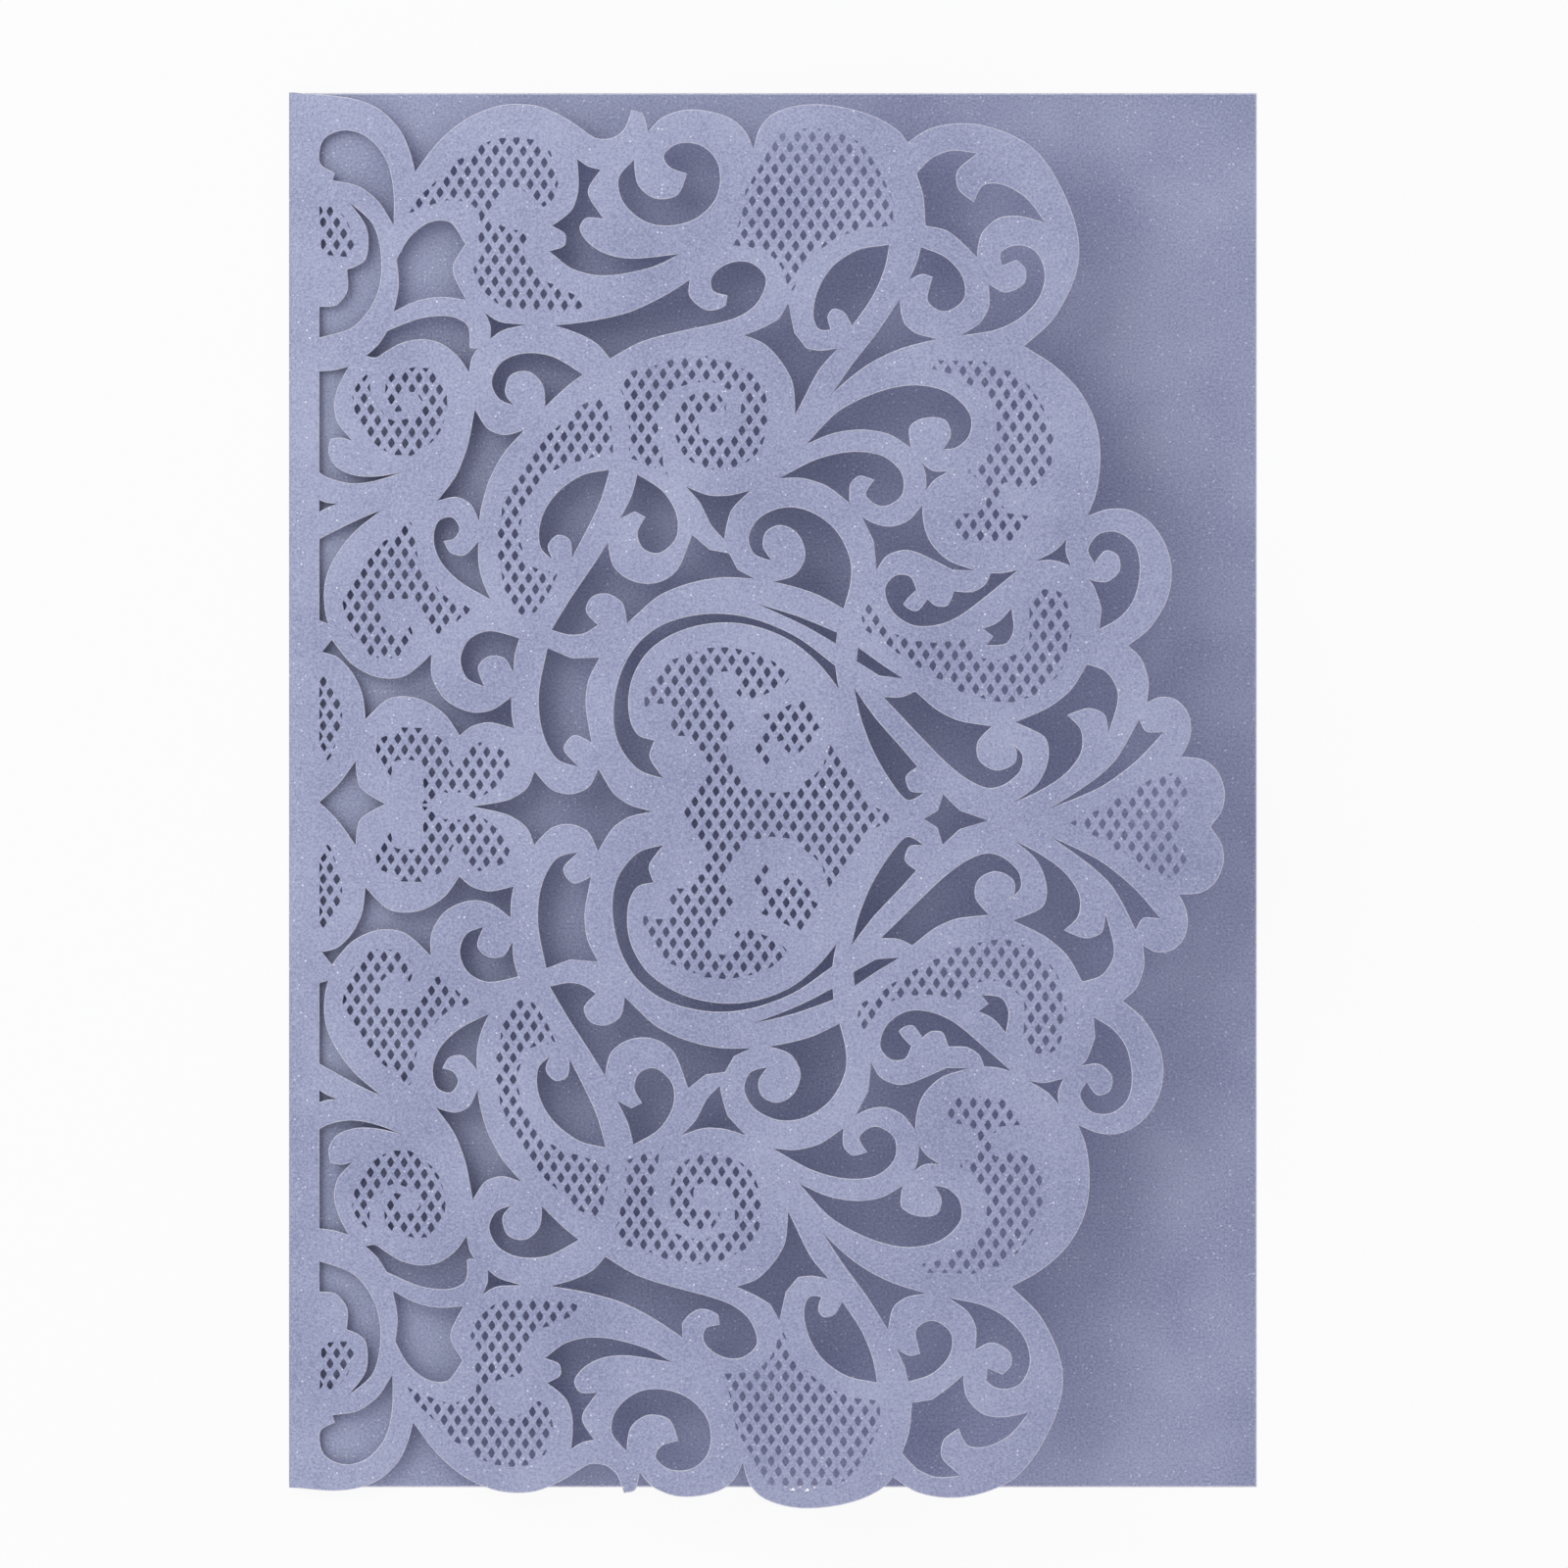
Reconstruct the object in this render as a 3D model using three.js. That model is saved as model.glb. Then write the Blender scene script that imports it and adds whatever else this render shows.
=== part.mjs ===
// Folded invitation card in pearlescent lavender card stock, lying open a little on its back.
// One sheet: a plain back panel, a scored fold along the left edge, and a front flap that is
// laser cut into scrolls, leaves and fields of small diamonds.
// Millimetres, +Z up, +Y towards the top of the card, origin at the centre of the back.

import * as THREE from 'three';

const card = { width: 127, height: 183, thickness: 0.3 };

const fold = {
  insideRadius: 0.35,
  lift: 7,        // degrees that the flap has sprung open
  steps: 14,
};

const flap = {
  reach: 122.9,   // from the fold to the tips at the right
  margin: 4.04,   // uncut strip beside the fold
};

// The cutting pattern is drawn in its own millimetres, upper half only, and laid on the flap.
const pattern = {
  foldHalfHeight: 91.5,
  margin: 4.04,
  drop: 1.48,        // its axis starts this far below the middle of the card
  slope: 0.0274,     // and runs down to the right
  spread: 0.000148,  // the upper half leans to the right, more so away from the fold
  lean: -0.0009,
  bow: 0.0000968,
  narrowing: 0.0001,
  lowerRim: 0.991,
};

const lattice = {
  pitchAlong: 4.3,
  pitchAcross: 3.3,
  diamondWidth: 2.2,
  diamondHeight: 3.1,
  originAlong: 27.05,
  originAcross: 85.4,
  rim: 0.12,
};

const finest = 0.11;   // how far a drawn curve may be from its true line

// Each outline is a list of spans. A span starts at a corner and runs as a smooth curve through
// its further points to the first point of the next span.

const flapEdge = [
  [[6, 91.9], [8.5, 91.6], [11.8, 90.4], [14.7, 87.6], [16.1, 84.4]],
  [[16.6, 82.4], [19.4, 86.05], [23.15, 89.3], [28, 91.3], [33, 91.2], [37.3, 89.2], [40.05, 87.4],
    [42.4, 87.5], [43.95, 88.8]],
  [[44.8, 91.1], [46.2, 90.75]],
  [[46.9, 88.3], [48.5, 90.05], [51.6, 91.3], [55.2, 91.15], [58.2, 90.05], [59.9, 88.2]],
  [[60.6, 86.5], [61.3, 89], [63.1, 91.1], [67.3, 92.4], [72.1, 92.2], [76.7, 90.9], [79.6, 89.1]],
  [[80.5, 87.9], [83.05, 89.6], [86.8, 90.5], [91.5, 90.05], [96.8, 87.5], [100.3, 82.7],
    [102.5, 77], [102.7, 72.8], [101.4, 68.8], [99.1, 65]],
  [[95.85, 61.95], [99.1, 60.05], [102.9, 56.6], [105.3, 52.05], [105.9, 47.4], [105.3, 42.6]],
  [[104.3, 40.1], [106.7, 41.05], [109.8, 41.05], [112.8, 39.2], [114.9, 35.6], [115.3, 32],
    [114.5, 28.8], [112.2, 25.3]],
  [[109.85, 23.4], [111.5, 21.85], [112.6, 18.5]],
  [[112.4, 16], [113.85, 16.75], [115.95, 16.6], [117.7, 14.9], [118.15, 12.1], [117.6, 10.25]],
  [[116.95, 9.1], [119.55, 8.85], [121.6, 7.4], [122.7, 4.35], [122.2, 1.9]],
  [[120.9, 0]],
];

const cutOuts = {
  topBean: [
    [[6.1, 82], [4.2, 83.1], [4.6, 86.2], [7.5, 87.5], [10.7, 86.4], [13.05, 83.3], [13.85, 78.7]],
    [[13.8, 75.4], [12, 78.2], [9.05, 80.4]],
    [[5.8, 81]],
  ],
  medallionRing: [
    [[8, 78.15], [11.1, 75.4], [12.2, 70.6], [11.5, 66.1], [8.6, 62.2]],
    [[4.04, 60.6]],
    [[4.04, 64.6], [6.1, 64.75], [7.8, 66.9]],
    [[7.7, 69.5], [10, 70.7], [10.3, 74.9]],
  ],
  leafWindow: [
    [[13.85, 64.25], [14.5, 67.7]],
    [[14.2, 71], [15.6, 73.5], [18.3, 75.8], [21.1, 76]],
    [[23.2, 73.2], [21.55, 70.05]],
    [[23.3, 66], [20, 66.3], [16.85, 65.7]],
  ],
  smallStar: [
    [[25.8, 64.4], [27.6, 63.3]],
    [[31.05, 63], [28, 62.15]],
    [[26.5, 61.05], [26.5, 62.8]],
  ],
  arch: [
    [[10.2, 58.4], [11.8, 59.85]],
    [[13, 61.7], [16.85, 63.3], [21.05, 63.8], [23.4, 62.8], [23.8, 61.3]],
    [[23.75, 59.85], [24.3, 59.65]],
    [[24.9, 59.85], [24.1, 58.6]],
    [[23.7, 56.65], [22.5, 58.4], [20, 60.3], [17.3, 60.75], [14.5, 60.05], [12.6, 58.9]],
    [[11.5, 58.2]],
  ],
  foldBracket: [
    [[4.04, 56.2], [6.1, 56.43]],
    [[7.9, 56.94], [6.75, 54.8], [6, 52.2], [6.5, 49.5]],
    [[8.4, 47.3], [7, 47.7]],
    [[5.5, 47.5], [5.25, 45.8], [6.3, 43.85], [9, 42.75], [12.4, 42.85]],
    [[15, 43.4], [11.2, 42.15], [8, 41.8], [5.05, 42.5]],
    [[4.04, 43.1]],
  ],
  foldChip: [
    [[4.04, 39.5], [5, 39.15]],
    [[6.4, 39.05], [5, 38.5]],
    [[4.04, 37.95]],
  ],
  foldBlade: [
    [[4.04, 34.4], [7.15, 36.05], [10.1, 37.5]],
    [[12.15, 38.35], [9.05, 35.85], [6.4, 32.6], [4.95, 29.5], [4.65, 27.2], [4.9, 24.6]],
    [[5.25, 23.4]],
    [[4.04, 23.8]],
  ],
  flame: [
    [[37.75, 84.6], [39.2, 83.65]],
    [[40.8, 83.3], [39.15, 80.4]],
    [[41.2, 77], [39, 77.05], [38.1, 75.7], [39.2, 73.85], [41.95, 72.3], [45.7, 71.95]],
    [[51.2, 72.7], [47.8, 71], [43.6, 69.9], [40.05, 69.7], [36.6, 70.7]],
    [[34.2, 72.6], [36.05, 73.3], [36.2, 74.9]],
    [[34.5, 75.9], [37.1, 78.05], [37.95, 81.2]],
  ],
  swirl: [
    [[45.15, 84.7], [43.2, 82.4], [43.6, 79.5], [46.2, 77], [49.3, 76.3], [53.3, 77.4], [55.95, 80.4],
      [56.05, 84.4], [53.95, 86.7], [50.8, 86.9], [49, 85.3], [49.9, 83.8]],
    [[52, 83.1], [50.8, 80.3], [47.8, 79.8], [45.6, 81.6]],
  ],
  comma: [
    [[34.95, 63], [38.6, 63.5], [44.7, 65], [49.95, 67.7]],
    [[52.5, 69.4], [52.4, 67.4], [54.7, 65.5], [57.2, 66.2]],
    [[57.4, 67.5], [55.6, 68], [55.3, 69.7], [57.2, 71.5], [60.1, 71.85], [62.3, 70], [61.3, 66.7],
      [58.4, 64.6], [52.05, 62.9], [46.2, 61.2]],
    [[42.15, 58.9], [40.5, 60.75], [37.9, 62.1]],
  ],
  crossingLeaf: [
    [[78.3, 74.6], [74.6, 73.95], [71, 71.6], [69, 68.1], [68.6, 65], [69.3, 63.5], [70.8, 63.5]],
    [[70.4, 65.1], [71.05, 66.1], [72.6, 65.7]],
    [[73.6, 64], [76.1, 67.7], [77.7, 71.5]],
  ],
  starLeft: [
    [[59.6, 62.4], [64.1, 64.6]],
    [[65.3, 66.7], [66.1, 62.9]],
    [[67.7, 60.9], [69.5, 60.65]],
    [[71.8, 61.05], [69.4, 58.25], [67.5, 54.6]],
    [[66.35, 52.3], [66, 56.25], [64.3, 59.3], [62, 61.5]],
  ],
  starRight: [
    [[79.7, 67.6], [80.3, 64.6], [82.2, 63.1]],
    [[84.7, 62.6], [80.1, 61.3], [76.1, 59.3], [73.2, 57.1]],
    [[70.95, 54.95], [73.8, 59.2], [76.7, 63]],
  ],
  claw: [
    [[89.5, 86.7], [86.4, 87], [83.5, 85.8]],
    [[81.7, 83.9], [82.6, 81.2]],
    [[82.95, 77.2], [85.6, 76.7], [88.3, 74.6]],
    [[89.65, 73.3], [90.1, 76.2], [92.5, 78.5], [95.6, 78.7]],
    [[98.4, 78], [96.2, 80.8], [93, 82.7], [90.3, 82.6]],
    [[89.15, 80.4], [87.3, 81.8], [86.9, 84.2]],
  ],
  hook: [
    [[82.4, 74.4], [85.2, 73.4], [87.7, 70.9], [88, 67.9], [85.6, 66.2], [83.4, 67.4]],
    [[83.95, 70.6], [82.6, 70.95]],
    [[80.85, 70.1], [81.9, 72.4]],
  ],
  lobeCurl: [
    [[87.6, 63.1], [90, 64.7], [91.3, 67.1]],
    [[91.2, 69.9], [93.3, 68.85], [95.8, 70.15], [95.9, 72]],
    [[94.8, 73.1]],
    [[92.85, 72.3], [92.7, 74], [94.9, 75], [97.2, 74.2], [98.4, 71.3], [97.5, 67.95], [94.7, 65.2],
      [91.5, 63.8]],
  ],
  crescentLeaf: [
    [[29.6, 52.5], [27.8, 53.2], [26.7, 55.4], [28, 58.05], [31.15, 59.3], [35, 58.8]],
    [[38.6, 56.75], [36.6, 55.2]],
    [[33.7, 52.45], [33.4, 55.2], [31.5, 56.95], [29.1, 56.35], [28.5, 53.85]],
  ],
  thinStar: [
    [[24.5, 51.8], [26.1, 49.4], [28.6, 48.6]],
    [[30.95, 49.3], [28.4, 46.4], [26.2, 42.2], [25.3, 38.8]],
    [[25.1, 37.3], [24, 39.5], [21.9, 40.4]],
    [[19.6, 39.8], [21.9, 42.9], [23.6, 47.2]],
  ],
  curl: [
    [[25, 34.7], [25, 32], [25.6, 29.4]],
    [[26.6, 27.2], [23.15, 29], [20.3, 31.6], [19.15, 34.5], [19.7, 37.1], [21.5, 37.7], [22.5, 36.2],
      [21.7, 34.9]],
    [[20.4, 34.6], [21.2, 33.2], [23.15, 32.8]],
  ],
  notchedLeaf: [
    [[42.15, 44.45], [39, 43.8], [36.05, 41.95], [33.95, 39.4], [33, 36.5], [33.3, 33.9]],
    [[34.7, 32.6], [34.1, 34.25], [35.4, 35.8], [37, 35.2]],
    [[37.3, 32.9], [39.1, 36.35], [41, 40.4]],
  ],
  paisley: [
    [[45.8, 43.95], [48.9, 42.05], [50.9, 39], [50.9, 35.85], [48.6, 33.8], [46.5, 34.5], [45.9, 36.6]],
    [[46.9, 38.45], [45.5, 39.15]],
    [[43.6, 38.2], [45.1, 41.2]],
  ],
  triangle: [
    [[52.2, 42.5], [55, 41.5], [58.2, 41.6]],
    [[60.6, 42.3], [58.2, 39.8], [57.35, 36.9]],
    [[57.2, 35.8], [55.4, 37.75], [54.1, 40.4]],
  ],
  archWithFoot: [
    [[42, 35], [42.7, 31.95], [45.1, 30.1], [48.2, 29.85], [50.9, 31.4]],
    [[53, 36.3], [55.3, 34.4]],
    [[57.85, 34], [59, 31.9]],
    [[61.2, 30.8], [57.5, 30.9], [52.9, 30.05], [48.5, 28.1]],
    [[44.55, 24.5], [44.1, 26.9], [42.15, 28.3], [40, 27.9], [39.15, 26]],
    [[40.75, 24.2], [39, 23.1], [37, 22.85]],
    [[34.65, 23.4], [37.1, 27.5], [39.85, 31.6]],
  ],
  ringComma: [
    [[63.4, 33.25], [61.2, 34], [60.4, 36.15], [61.7, 38.65], [64.95, 40.15], [68.3, 39.75],
      [71.7, 37.4], [73.7, 33.3], [73.6, 30]],
    [[72.85, 27.2], [69.6, 28.9], [66.4, 29.9]],
    [[63.65, 30.5], [66.4, 31.4], [67.8, 34], [66.7, 36.9], [64.5, 37.9], [62.6, 36.9], [62.3, 34.9]],
  ],
  wideCrescent: [
    [[67.8, 48.5], [71.5, 52.5], [76.3, 55.2], [81.6, 56.5], [86.2, 55.6], [89.05, 52.7],
      [88.75, 49.95], [87, 48.5]],
    [[85.55, 48.3], [86.5, 49.95], [85.9, 52.05], [83.05, 52.3], [81.2, 51.1]],
    [[81.4, 48.4], [78.85, 49.95], [75.05, 50.6], [70.8, 49.85]],
  ],
  longComma: [
    [[64.3, 43.95], [68.3, 46.15], [72.95, 47.55], [77.6, 47.25], [80.2, 45], [80.2, 42.1],
      [77.6, 40.7], [75.6, 42.2]],
    [[76.7, 44.1], [74.8, 44.6], [73.5, 43.3]],
    [[73.5, 41], [70.6, 43.1], [67, 44.1]],
  ],
  sparkStar: [
    [[82.85, 46.4], [84.3, 45.45]],
    [[86.3, 45.45], [84.4, 44.25]],
    [[83.45, 42.95], [83.35, 45]],
  ],
  tailedStar: [
    [[82.95, 41], [81.4, 39.1], [78.85, 38.05], [76.5, 38.5]],
    [[75.15, 39.2], [76.7, 36.1]],
    [[77.1, 32.3], [78.2, 34.1], [80.95, 35.1], [83.9, 34.15], [87.05, 32.65]],
    [[89.9, 32.65], [86.6, 33.75], [83.9, 36.4], [83.05, 39.2]],
  ],
  tickStar: [
    [[101.7, 37.1], [100.35, 35.6]],
    [[97.7, 34.05], [99.75, 34.3]],
    [[102.3, 33.65], [101.6, 35.4]],
  ],
  hornRing: [
    [[105.35, 34], [104.5, 35.6], [105.85, 37.8], [108.3, 38.1], [110.6, 36.35], [111.2, 33],
      [110.35, 29.2], [108.4, 26.8]],
    [[106.1, 25.45], [106.35, 28.15]],
    [[105.15, 31.3]],
    [[104.45, 31.9], [106.7, 31.55], [108.6, 33.1], [108.3, 35.2], [106.7, 35.7]],
  ],
  longStar: [
    [[5.7, 21.3], [8, 18.5], [11.6, 16.6], [15.3, 16.8]],
    [[18.85, 19.8], [18.85, 17.1], [20.75, 13.85], [24.5, 12.3], [27.35, 12.95]],
    [[29.4, 14.5], [29.45, 12.2]],
    [[29.8, 10.35], [26.75, 11.1], [24, 10.4]],
    [[22.6, 9.25], [20.9, 11.7], [17.5, 13.85], [13.5, 13.95]],
    [[10.15, 11.05], [9.8, 14.05], [8.4, 17.1], [6.2, 19.2]],
    [[4.4, 19.7]],
  ],
  hookedCrescent: [
    [[30.45, 22.15], [26.5, 23], [23.8, 21.8], [22.7, 19.1], [23.7, 16.65]],
    [[25.85, 15.75], [25, 18.3], [26.5, 19.75], [28.6, 19.45]],
    [[29.65, 17.65], [29.85, 20.2]],
  ],
  shield: [
    [[34.15, 21], [37.3, 19.75]],
    [[41, 19.95], [39.6, 17.2], [39.2, 13.4]],
    [[40, 8.8], [37.75, 9.75], [36.3, 7.95]],
    [[38.3, 5.6], [35.5, 6.5], [33.4, 10.5], [33.1, 15.75]],
  ],
  heartRing: [
    [[49.5, 4.4], [46.3, 5.4], [43.6, 8.7], [42.85, 12.6], [43.75, 17.85], [46.15, 22.05],
      [49.95, 24.8], [56.25, 26.1], [62, 25.3], [67.5, 22.9]],
    [[71.85, 19.7], [72.05, 18.2]],
    [[72.35, 16.7], [70.4, 19.2], [66.6, 22.5], [62, 24.45], [57.5, 25], [52.05, 23.95], [47.5, 21.1],
      [45.1, 16.8], [45, 12], [46.3, 9.8]],
    [[48.25, 9.3], [47.6, 7.2]],
  ],
  ringTail: [
    [[61.6, 27.5], [67.05, 26]],
    [[72.05, 24.05]],
    [[71.9, 22.6], [67.7, 24.9]],
  ],
  headCurl: [
    [[82.3, 29.9], [81.6, 31.5], [79.7, 31.75], [78.25, 30.05], [79.2, 27.1], [82, 25.3], [85.8, 25.65],
      [88.95, 27.4]],
    [[95.5, 32.9], [93.5, 32.4]],
    [[91.9, 32.35], [91.3, 30.9], [89.4, 29.8]],
    [[87.2, 29.85], [86.4, 28], [84.7, 27.95]],
    [[83.75, 28.75], [82.4, 27.15], [80.6, 28], [81.4, 29.05]],
  ],
  sail: [
    [[94.65, 27.8], [92.95, 25.95]],
    [[91.05, 25.1], [92.35, 24.1]],
    [[91.45, 22.95], [94.1, 23.3], [95, 25.4]],
  ],
  flameLeaf: [
    [[74.8, 22.2], [77.6, 20.25]],
    [[80.65, 18.3], [77.6, 18.6]],
    [[74.6, 20.4]],
  ],
  horn: [
    [[74.35, 16.85], [77.15, 13], [80.3, 9.55]],
    [[82.7, 6.8], [81.2, 5.5], [81.9, 3.55]],
    [[83.6, 3.45], [81.6, 2.4], [79.3, 4.75], [76.5, 9.65], [75.05, 13.65]],
  ],
  scoop: [
    [[78.2, 15.8], [80.5, 15.85]],
    [[82.3, 16.65], [84.95, 14.45], [88.1, 12.95]],
    [[92.3, 12.35], [90.5, 10.3], [90.7, 7.9], [93, 6.6], [95.4, 7.7], [95.5, 9.5]],
    [[94.55, 10.35], [96.3, 8.8], [95.9, 6.4], [92.5, 4.3], [88.7, 5.7], [83.9, 9.95]],
  ],
  swoosh: [
    [[95.4, 13], [99.3, 14.8], [102.7, 17.6]],
    [[104.55, 20.8], [107.1, 19.85], [108.6, 17.2], [108.3, 14.7]],
    [[107.45, 11.85], [107, 14.25], [104.9, 15.1]],
    [[102.05, 14.1], [103.85, 12.25], [103.9, 9.2], [101.4, 5.95], [98.25, 3.9]],
    [[95.4, 2.5], [98.05, 4.6], [99.6, 7.7], [99.4, 10.9]],
  ],
  dagger: [
    [[111.4, 13.8], [112.3, 12.25]],
    [[114.65, 12.25], [111.6, 8.8], [106.5, 4.8]],
    [[99.95, 1.75], [104.35, 4.7], [108.3, 8.2]],
  ],
};

// These three cross the axis, so only their upper edge is drawn, from left to right.
const axisCutOuts = {
  foldDiamond: [
    [[4.04, 0], [6.4, 2.2]],
    [[8.85, 5.5], [9.4, 2.2]],
    [[12.7, 0]],
  ],
  middleStar: [
    [[24.4, 0], [28.85, 0.9], [31.6, 2.7]],
    [[32.5, 4.8], [34.6, 2.6], [37.2, 1.95], [39.7, 3]],
    [[40.9, 5.4], [42.8, 2.35], [45.2, 0.7]],
    [[48, 0]],
  ],
  tipStar: [
    [[83.6, 0], [85.4, 1.1]],
    [[86.1, 3.3], [88.3, 1.2]],
    [[92, 0]],
  ],
};

// Fields of the pattern that are cut into small diamonds.
const latticeFields = [
  [[4.3, 77.6], [6.2, 77.5], [8.8, 73.5], [7.8, 71.1], [4.3, 71.3]],
  [[15.8, 77], [19.3, 81.2], [21.3, 83.7], [25, 86.1], [30, 87.2], [34.3, 85.4], [35.3, 81.3],
    [33.4, 78.3], [30.3, 80.8], [26.6, 77.3], [31, 75.2], [31.2, 71], [35.2, 68.2], [39.3, 66],
    [31.5, 64.9], [25.9, 66.9], [24.2, 70], [25.6, 72.3], [24.1, 78.3], [18.9, 78.2]],
  [[57.8, 74], [59.6, 81.2], [62.9, 87.2], [69, 89.4], [75.9, 85.8], [78.8, 78.2], [71.5, 75.4],
    [65.9, 68.3], [63.3, 72.6]],
  [[10.4, 56.2], [8.4, 53.2], [10, 48.7], [13.9, 45.6], [16.2, 45.6], [20.1, 49], [20.9, 52.5],
    [19.8, 56.2], [16.5, 57.1], [12.8, 55.2], [13.7, 51.4], [16.9, 53.7], [17.3, 51.2], [13.4, 50]],
  [[40.9, 53.9], [42, 51.3], [42.6, 46.7], [36.5, 45], [33.4, 42.9], [30.8, 38.5], [30.9, 33.5],
    [34.9, 30.8], [32.6, 25.6], [30.8, 25.1], [28.3, 29], [27.6, 35.6], [28.4, 39.7], [31.3, 45.3]],
  [[43.2, 55.5], [47, 58], [52, 59.3], [57.3, 59.1], [62, 55.9], [62.9, 51.2], [60.2, 46], [56, 44.8],
    [51.3, 47.6], [50.7, 51.5], [54.8, 54.9], [57.3, 53], [53.8, 50.8], [55.3, 48.5], [59.2, 52],
    [57.2, 55.5], [51.2, 55.4], [48.6, 51.5], [49.2, 45.2], [44.9, 45.9]],
  [[84.2, 58.7], [84.7, 59.8], [90.9, 59.8], [95.3, 57.6], [99.2, 52.4], [99.9, 49.4], [98, 44.4],
    [93, 43.3], [93.6, 40.9], [97.1, 39.9], [94.9, 36.8], [88.9, 36.4], [86.6, 39.3], [91.1, 41],
    [88.9, 45.5], [92.4, 49.1], [92.6, 52.9]],
  [[16.1, 36.9], [17.1, 32.2], [20.5, 27.6], [24, 25.8], [20, 22.5], [17.4, 25.9], [12.9, 26.8],
    [12.2, 23.6], [16.4, 22.5], [15, 19.3], [10.3, 19.5], [7.1, 26.2], [10.8, 32.2], [14.6, 36]],
  [[4.2, 16.8], [7.1, 11.5], [4.8, 5.1], [4.2, 8]],
  [[11.5, 7], [14.2, 9.6], [17.6, 10.1], [21.3, 6.6], [24.3, 7.9], [29.3, 5.6], [26.7, 2.1],
    [18.5, 0.5], [18, 5.2], [13.4, 5]],
  [[46.9, 13.7], [49.3, 19], [55.1, 21.5], [61.7, 21.1], [65.9, 17.9], [60.5, 15], [59, 18.2],
    [55.8, 17.4], [56.7, 14.2], [59.3, 12.4], [57.7, 6.8], [61.2, 3.2], [67.4, 3.8], [71.3, 9.4],
    [77, 1.5], [79, 0], [52, 0], [55.8, 6.3], [51, 13.8]],
  [[62.4, 13], [67.8, 15], [69.9, 11.6], [66.3, 7.6], [62, 8.6]],
  [[75.9, 28.2], [79, 24.2], [89.4, 22.6], [94.7, 21.6], [97.1, 25.2], [98.4, 30.4], [101.9, 28.7],
    [102, 22], [97, 16.2], [90.2, 16.2], [79.9, 21.6], [75.3, 24.5]],
  [[102.6, 0], [110.2, 3.9], [114, 6.6], [118.1, 5.4], [116.6, 0]],
];

const drawnReach = Math.max(...flapEdge.flat().map(([along]) => along));
const drawnTop = Math.max(...flapEdge.flat().map(([, across]) => across));

const bendRadius = fold.insideRadius + card.thickness;
const bendCentre = new THREE.Vector2(-card.width / 2 + bendRadius, bendRadius);
const lift = THREE.MathUtils.degToRad(fold.lift);
const flapStart = bendRadius * (1 - Math.sin(lift)) / Math.cos(lift);

function mirrored(point) {
  return [point[0], -point[1]];
}

// Lays a point of the cutting pattern on the flap: distance from the fold, height on the card.
function onFlap([along, across]) {
  const reachScale = (flap.reach - flap.margin) / (drawnReach - pattern.margin);
  const heightScale = card.height / 2 / pattern.foldHalfHeight;
  const shifted = along + across * (pattern.spread * along + pattern.lean);
  const pastMargin = along <= pattern.margin ? 0 : shifted - pattern.margin;
  const bowed = across + pattern.bow * across * across;
  const height = (bowed - pattern.drop - pattern.slope * along) * (1 - pattern.narrowing * along);
  return new THREE.Vector2(flap.margin + pastMargin * reachScale, height * heightScale);
}

// The lower rim is cut a little closer to the axis than the upper one.
function lowerRim([along, across]) {
  return [along, -across * pattern.lowerRim];
}

// Smooth curve through the points of one span, cut into as few chords as its bend needs.
function spanPoints(knots) {
  if (knots.length < 3) {
    return [knots[0]];
  }
  const lifted = knots.map((knot) => new THREE.Vector3(knot.x, knot.y, 0));
  const curve = new THREE.CatmullRomCurve3(lifted, false, 'centripetal');
  const points = [];
  const addChord = (from, to, start, end) => {
    const middle = (from + to) / 2;
    const centre = curve.getPoint(middle);
    const chord = new THREE.Line3(start, end);
    const nearest = chord.closestPointToPoint(centre, true, new THREE.Vector3());
    if (to - from < 0.9 / (knots.length - 1) && nearest.distanceTo(centre) < finest) {
      points.push(new THREE.Vector2(start.x, start.y));
      return;
    }
    if (to - from < 0.1 / (knots.length - 1)) {
      points.push(new THREE.Vector2(start.x, start.y));
      return;
    }
    addChord(from, middle, start, centre);
    addChord(middle, to, centre, end);
  };
  const pieces = knots.length - 1;
  for (let piece = 0; piece < pieces; piece += 1) {
    const from = piece / pieces;
    const to = (piece + 1) / pieces;
    const start = curve.getPoint(from);
    const end = curve.getPoint(to);
    const middle = curve.getPoint((from + to) / 2);
    const chord = new THREE.Line3(start, end);
    const nearest = chord.closestPointToPoint(middle, true, new THREE.Vector3());
    if (nearest.distanceTo(middle) < finest) {
      points.push(new THREE.Vector2(start.x, start.y));
    } else {
      addChord(from, to, start, end);
    }
  }
  return points;
}

function closedOutline(spans) {
  const corners = spans.map((span) => onFlap(span[0]));
  return spans.flatMap((span, index) => {
    const next = corners[(index + 1) % spans.length];
    return spanPoints([...span.map(onFlap), next]);
  });
}

function mirroredSpans(spans) {
  const corners = spans.map((span) => span[0]);
  return spans.map((span, index) => {
    const reversed = [corners[(index + 1) % spans.length], ...span.slice(1).reverse()];
    return reversed.map(mirrored);
  }).reverse();
}

// Closes a half outline that starts and ends on the axis.
function doubledSpans(half) {
  const lower = half.slice(0, -1).map((span, index) => {
    const reversed = [half[index + 1][0], ...span.slice(1).reverse()];
    return reversed.map(mirrored);
  });
  return [...half.slice(0, -1), ...lower.reverse()];
}

function flapOutline() {
  const lower = flapEdge.slice(0, -1).map((span, index) => {
    const reversed = [flapEdge[index + 1][0], ...span.slice(1).reverse()];
    return reversed.map(lowerRim);
  });
  const spans = [...flapEdge.slice(0, -1), ...lower.reverse(), [lowerRim(flapEdge[0][0])]];
  const corners = spans.map((span) => onFlap(span[0]));
  const edge = spans.flatMap((span, index) => {
    if (index === spans.length - 1) {
      return [corners[index]];
    }
    return spanPoints([...span.map(onFlap), corners[index + 1]]);
  });
  const top = new THREE.Vector2(flapStart, card.height / 2);
  const bottom = new THREE.Vector2(flapStart, -card.height / 2);
  return [top, ...edge, bottom];
}

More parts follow.
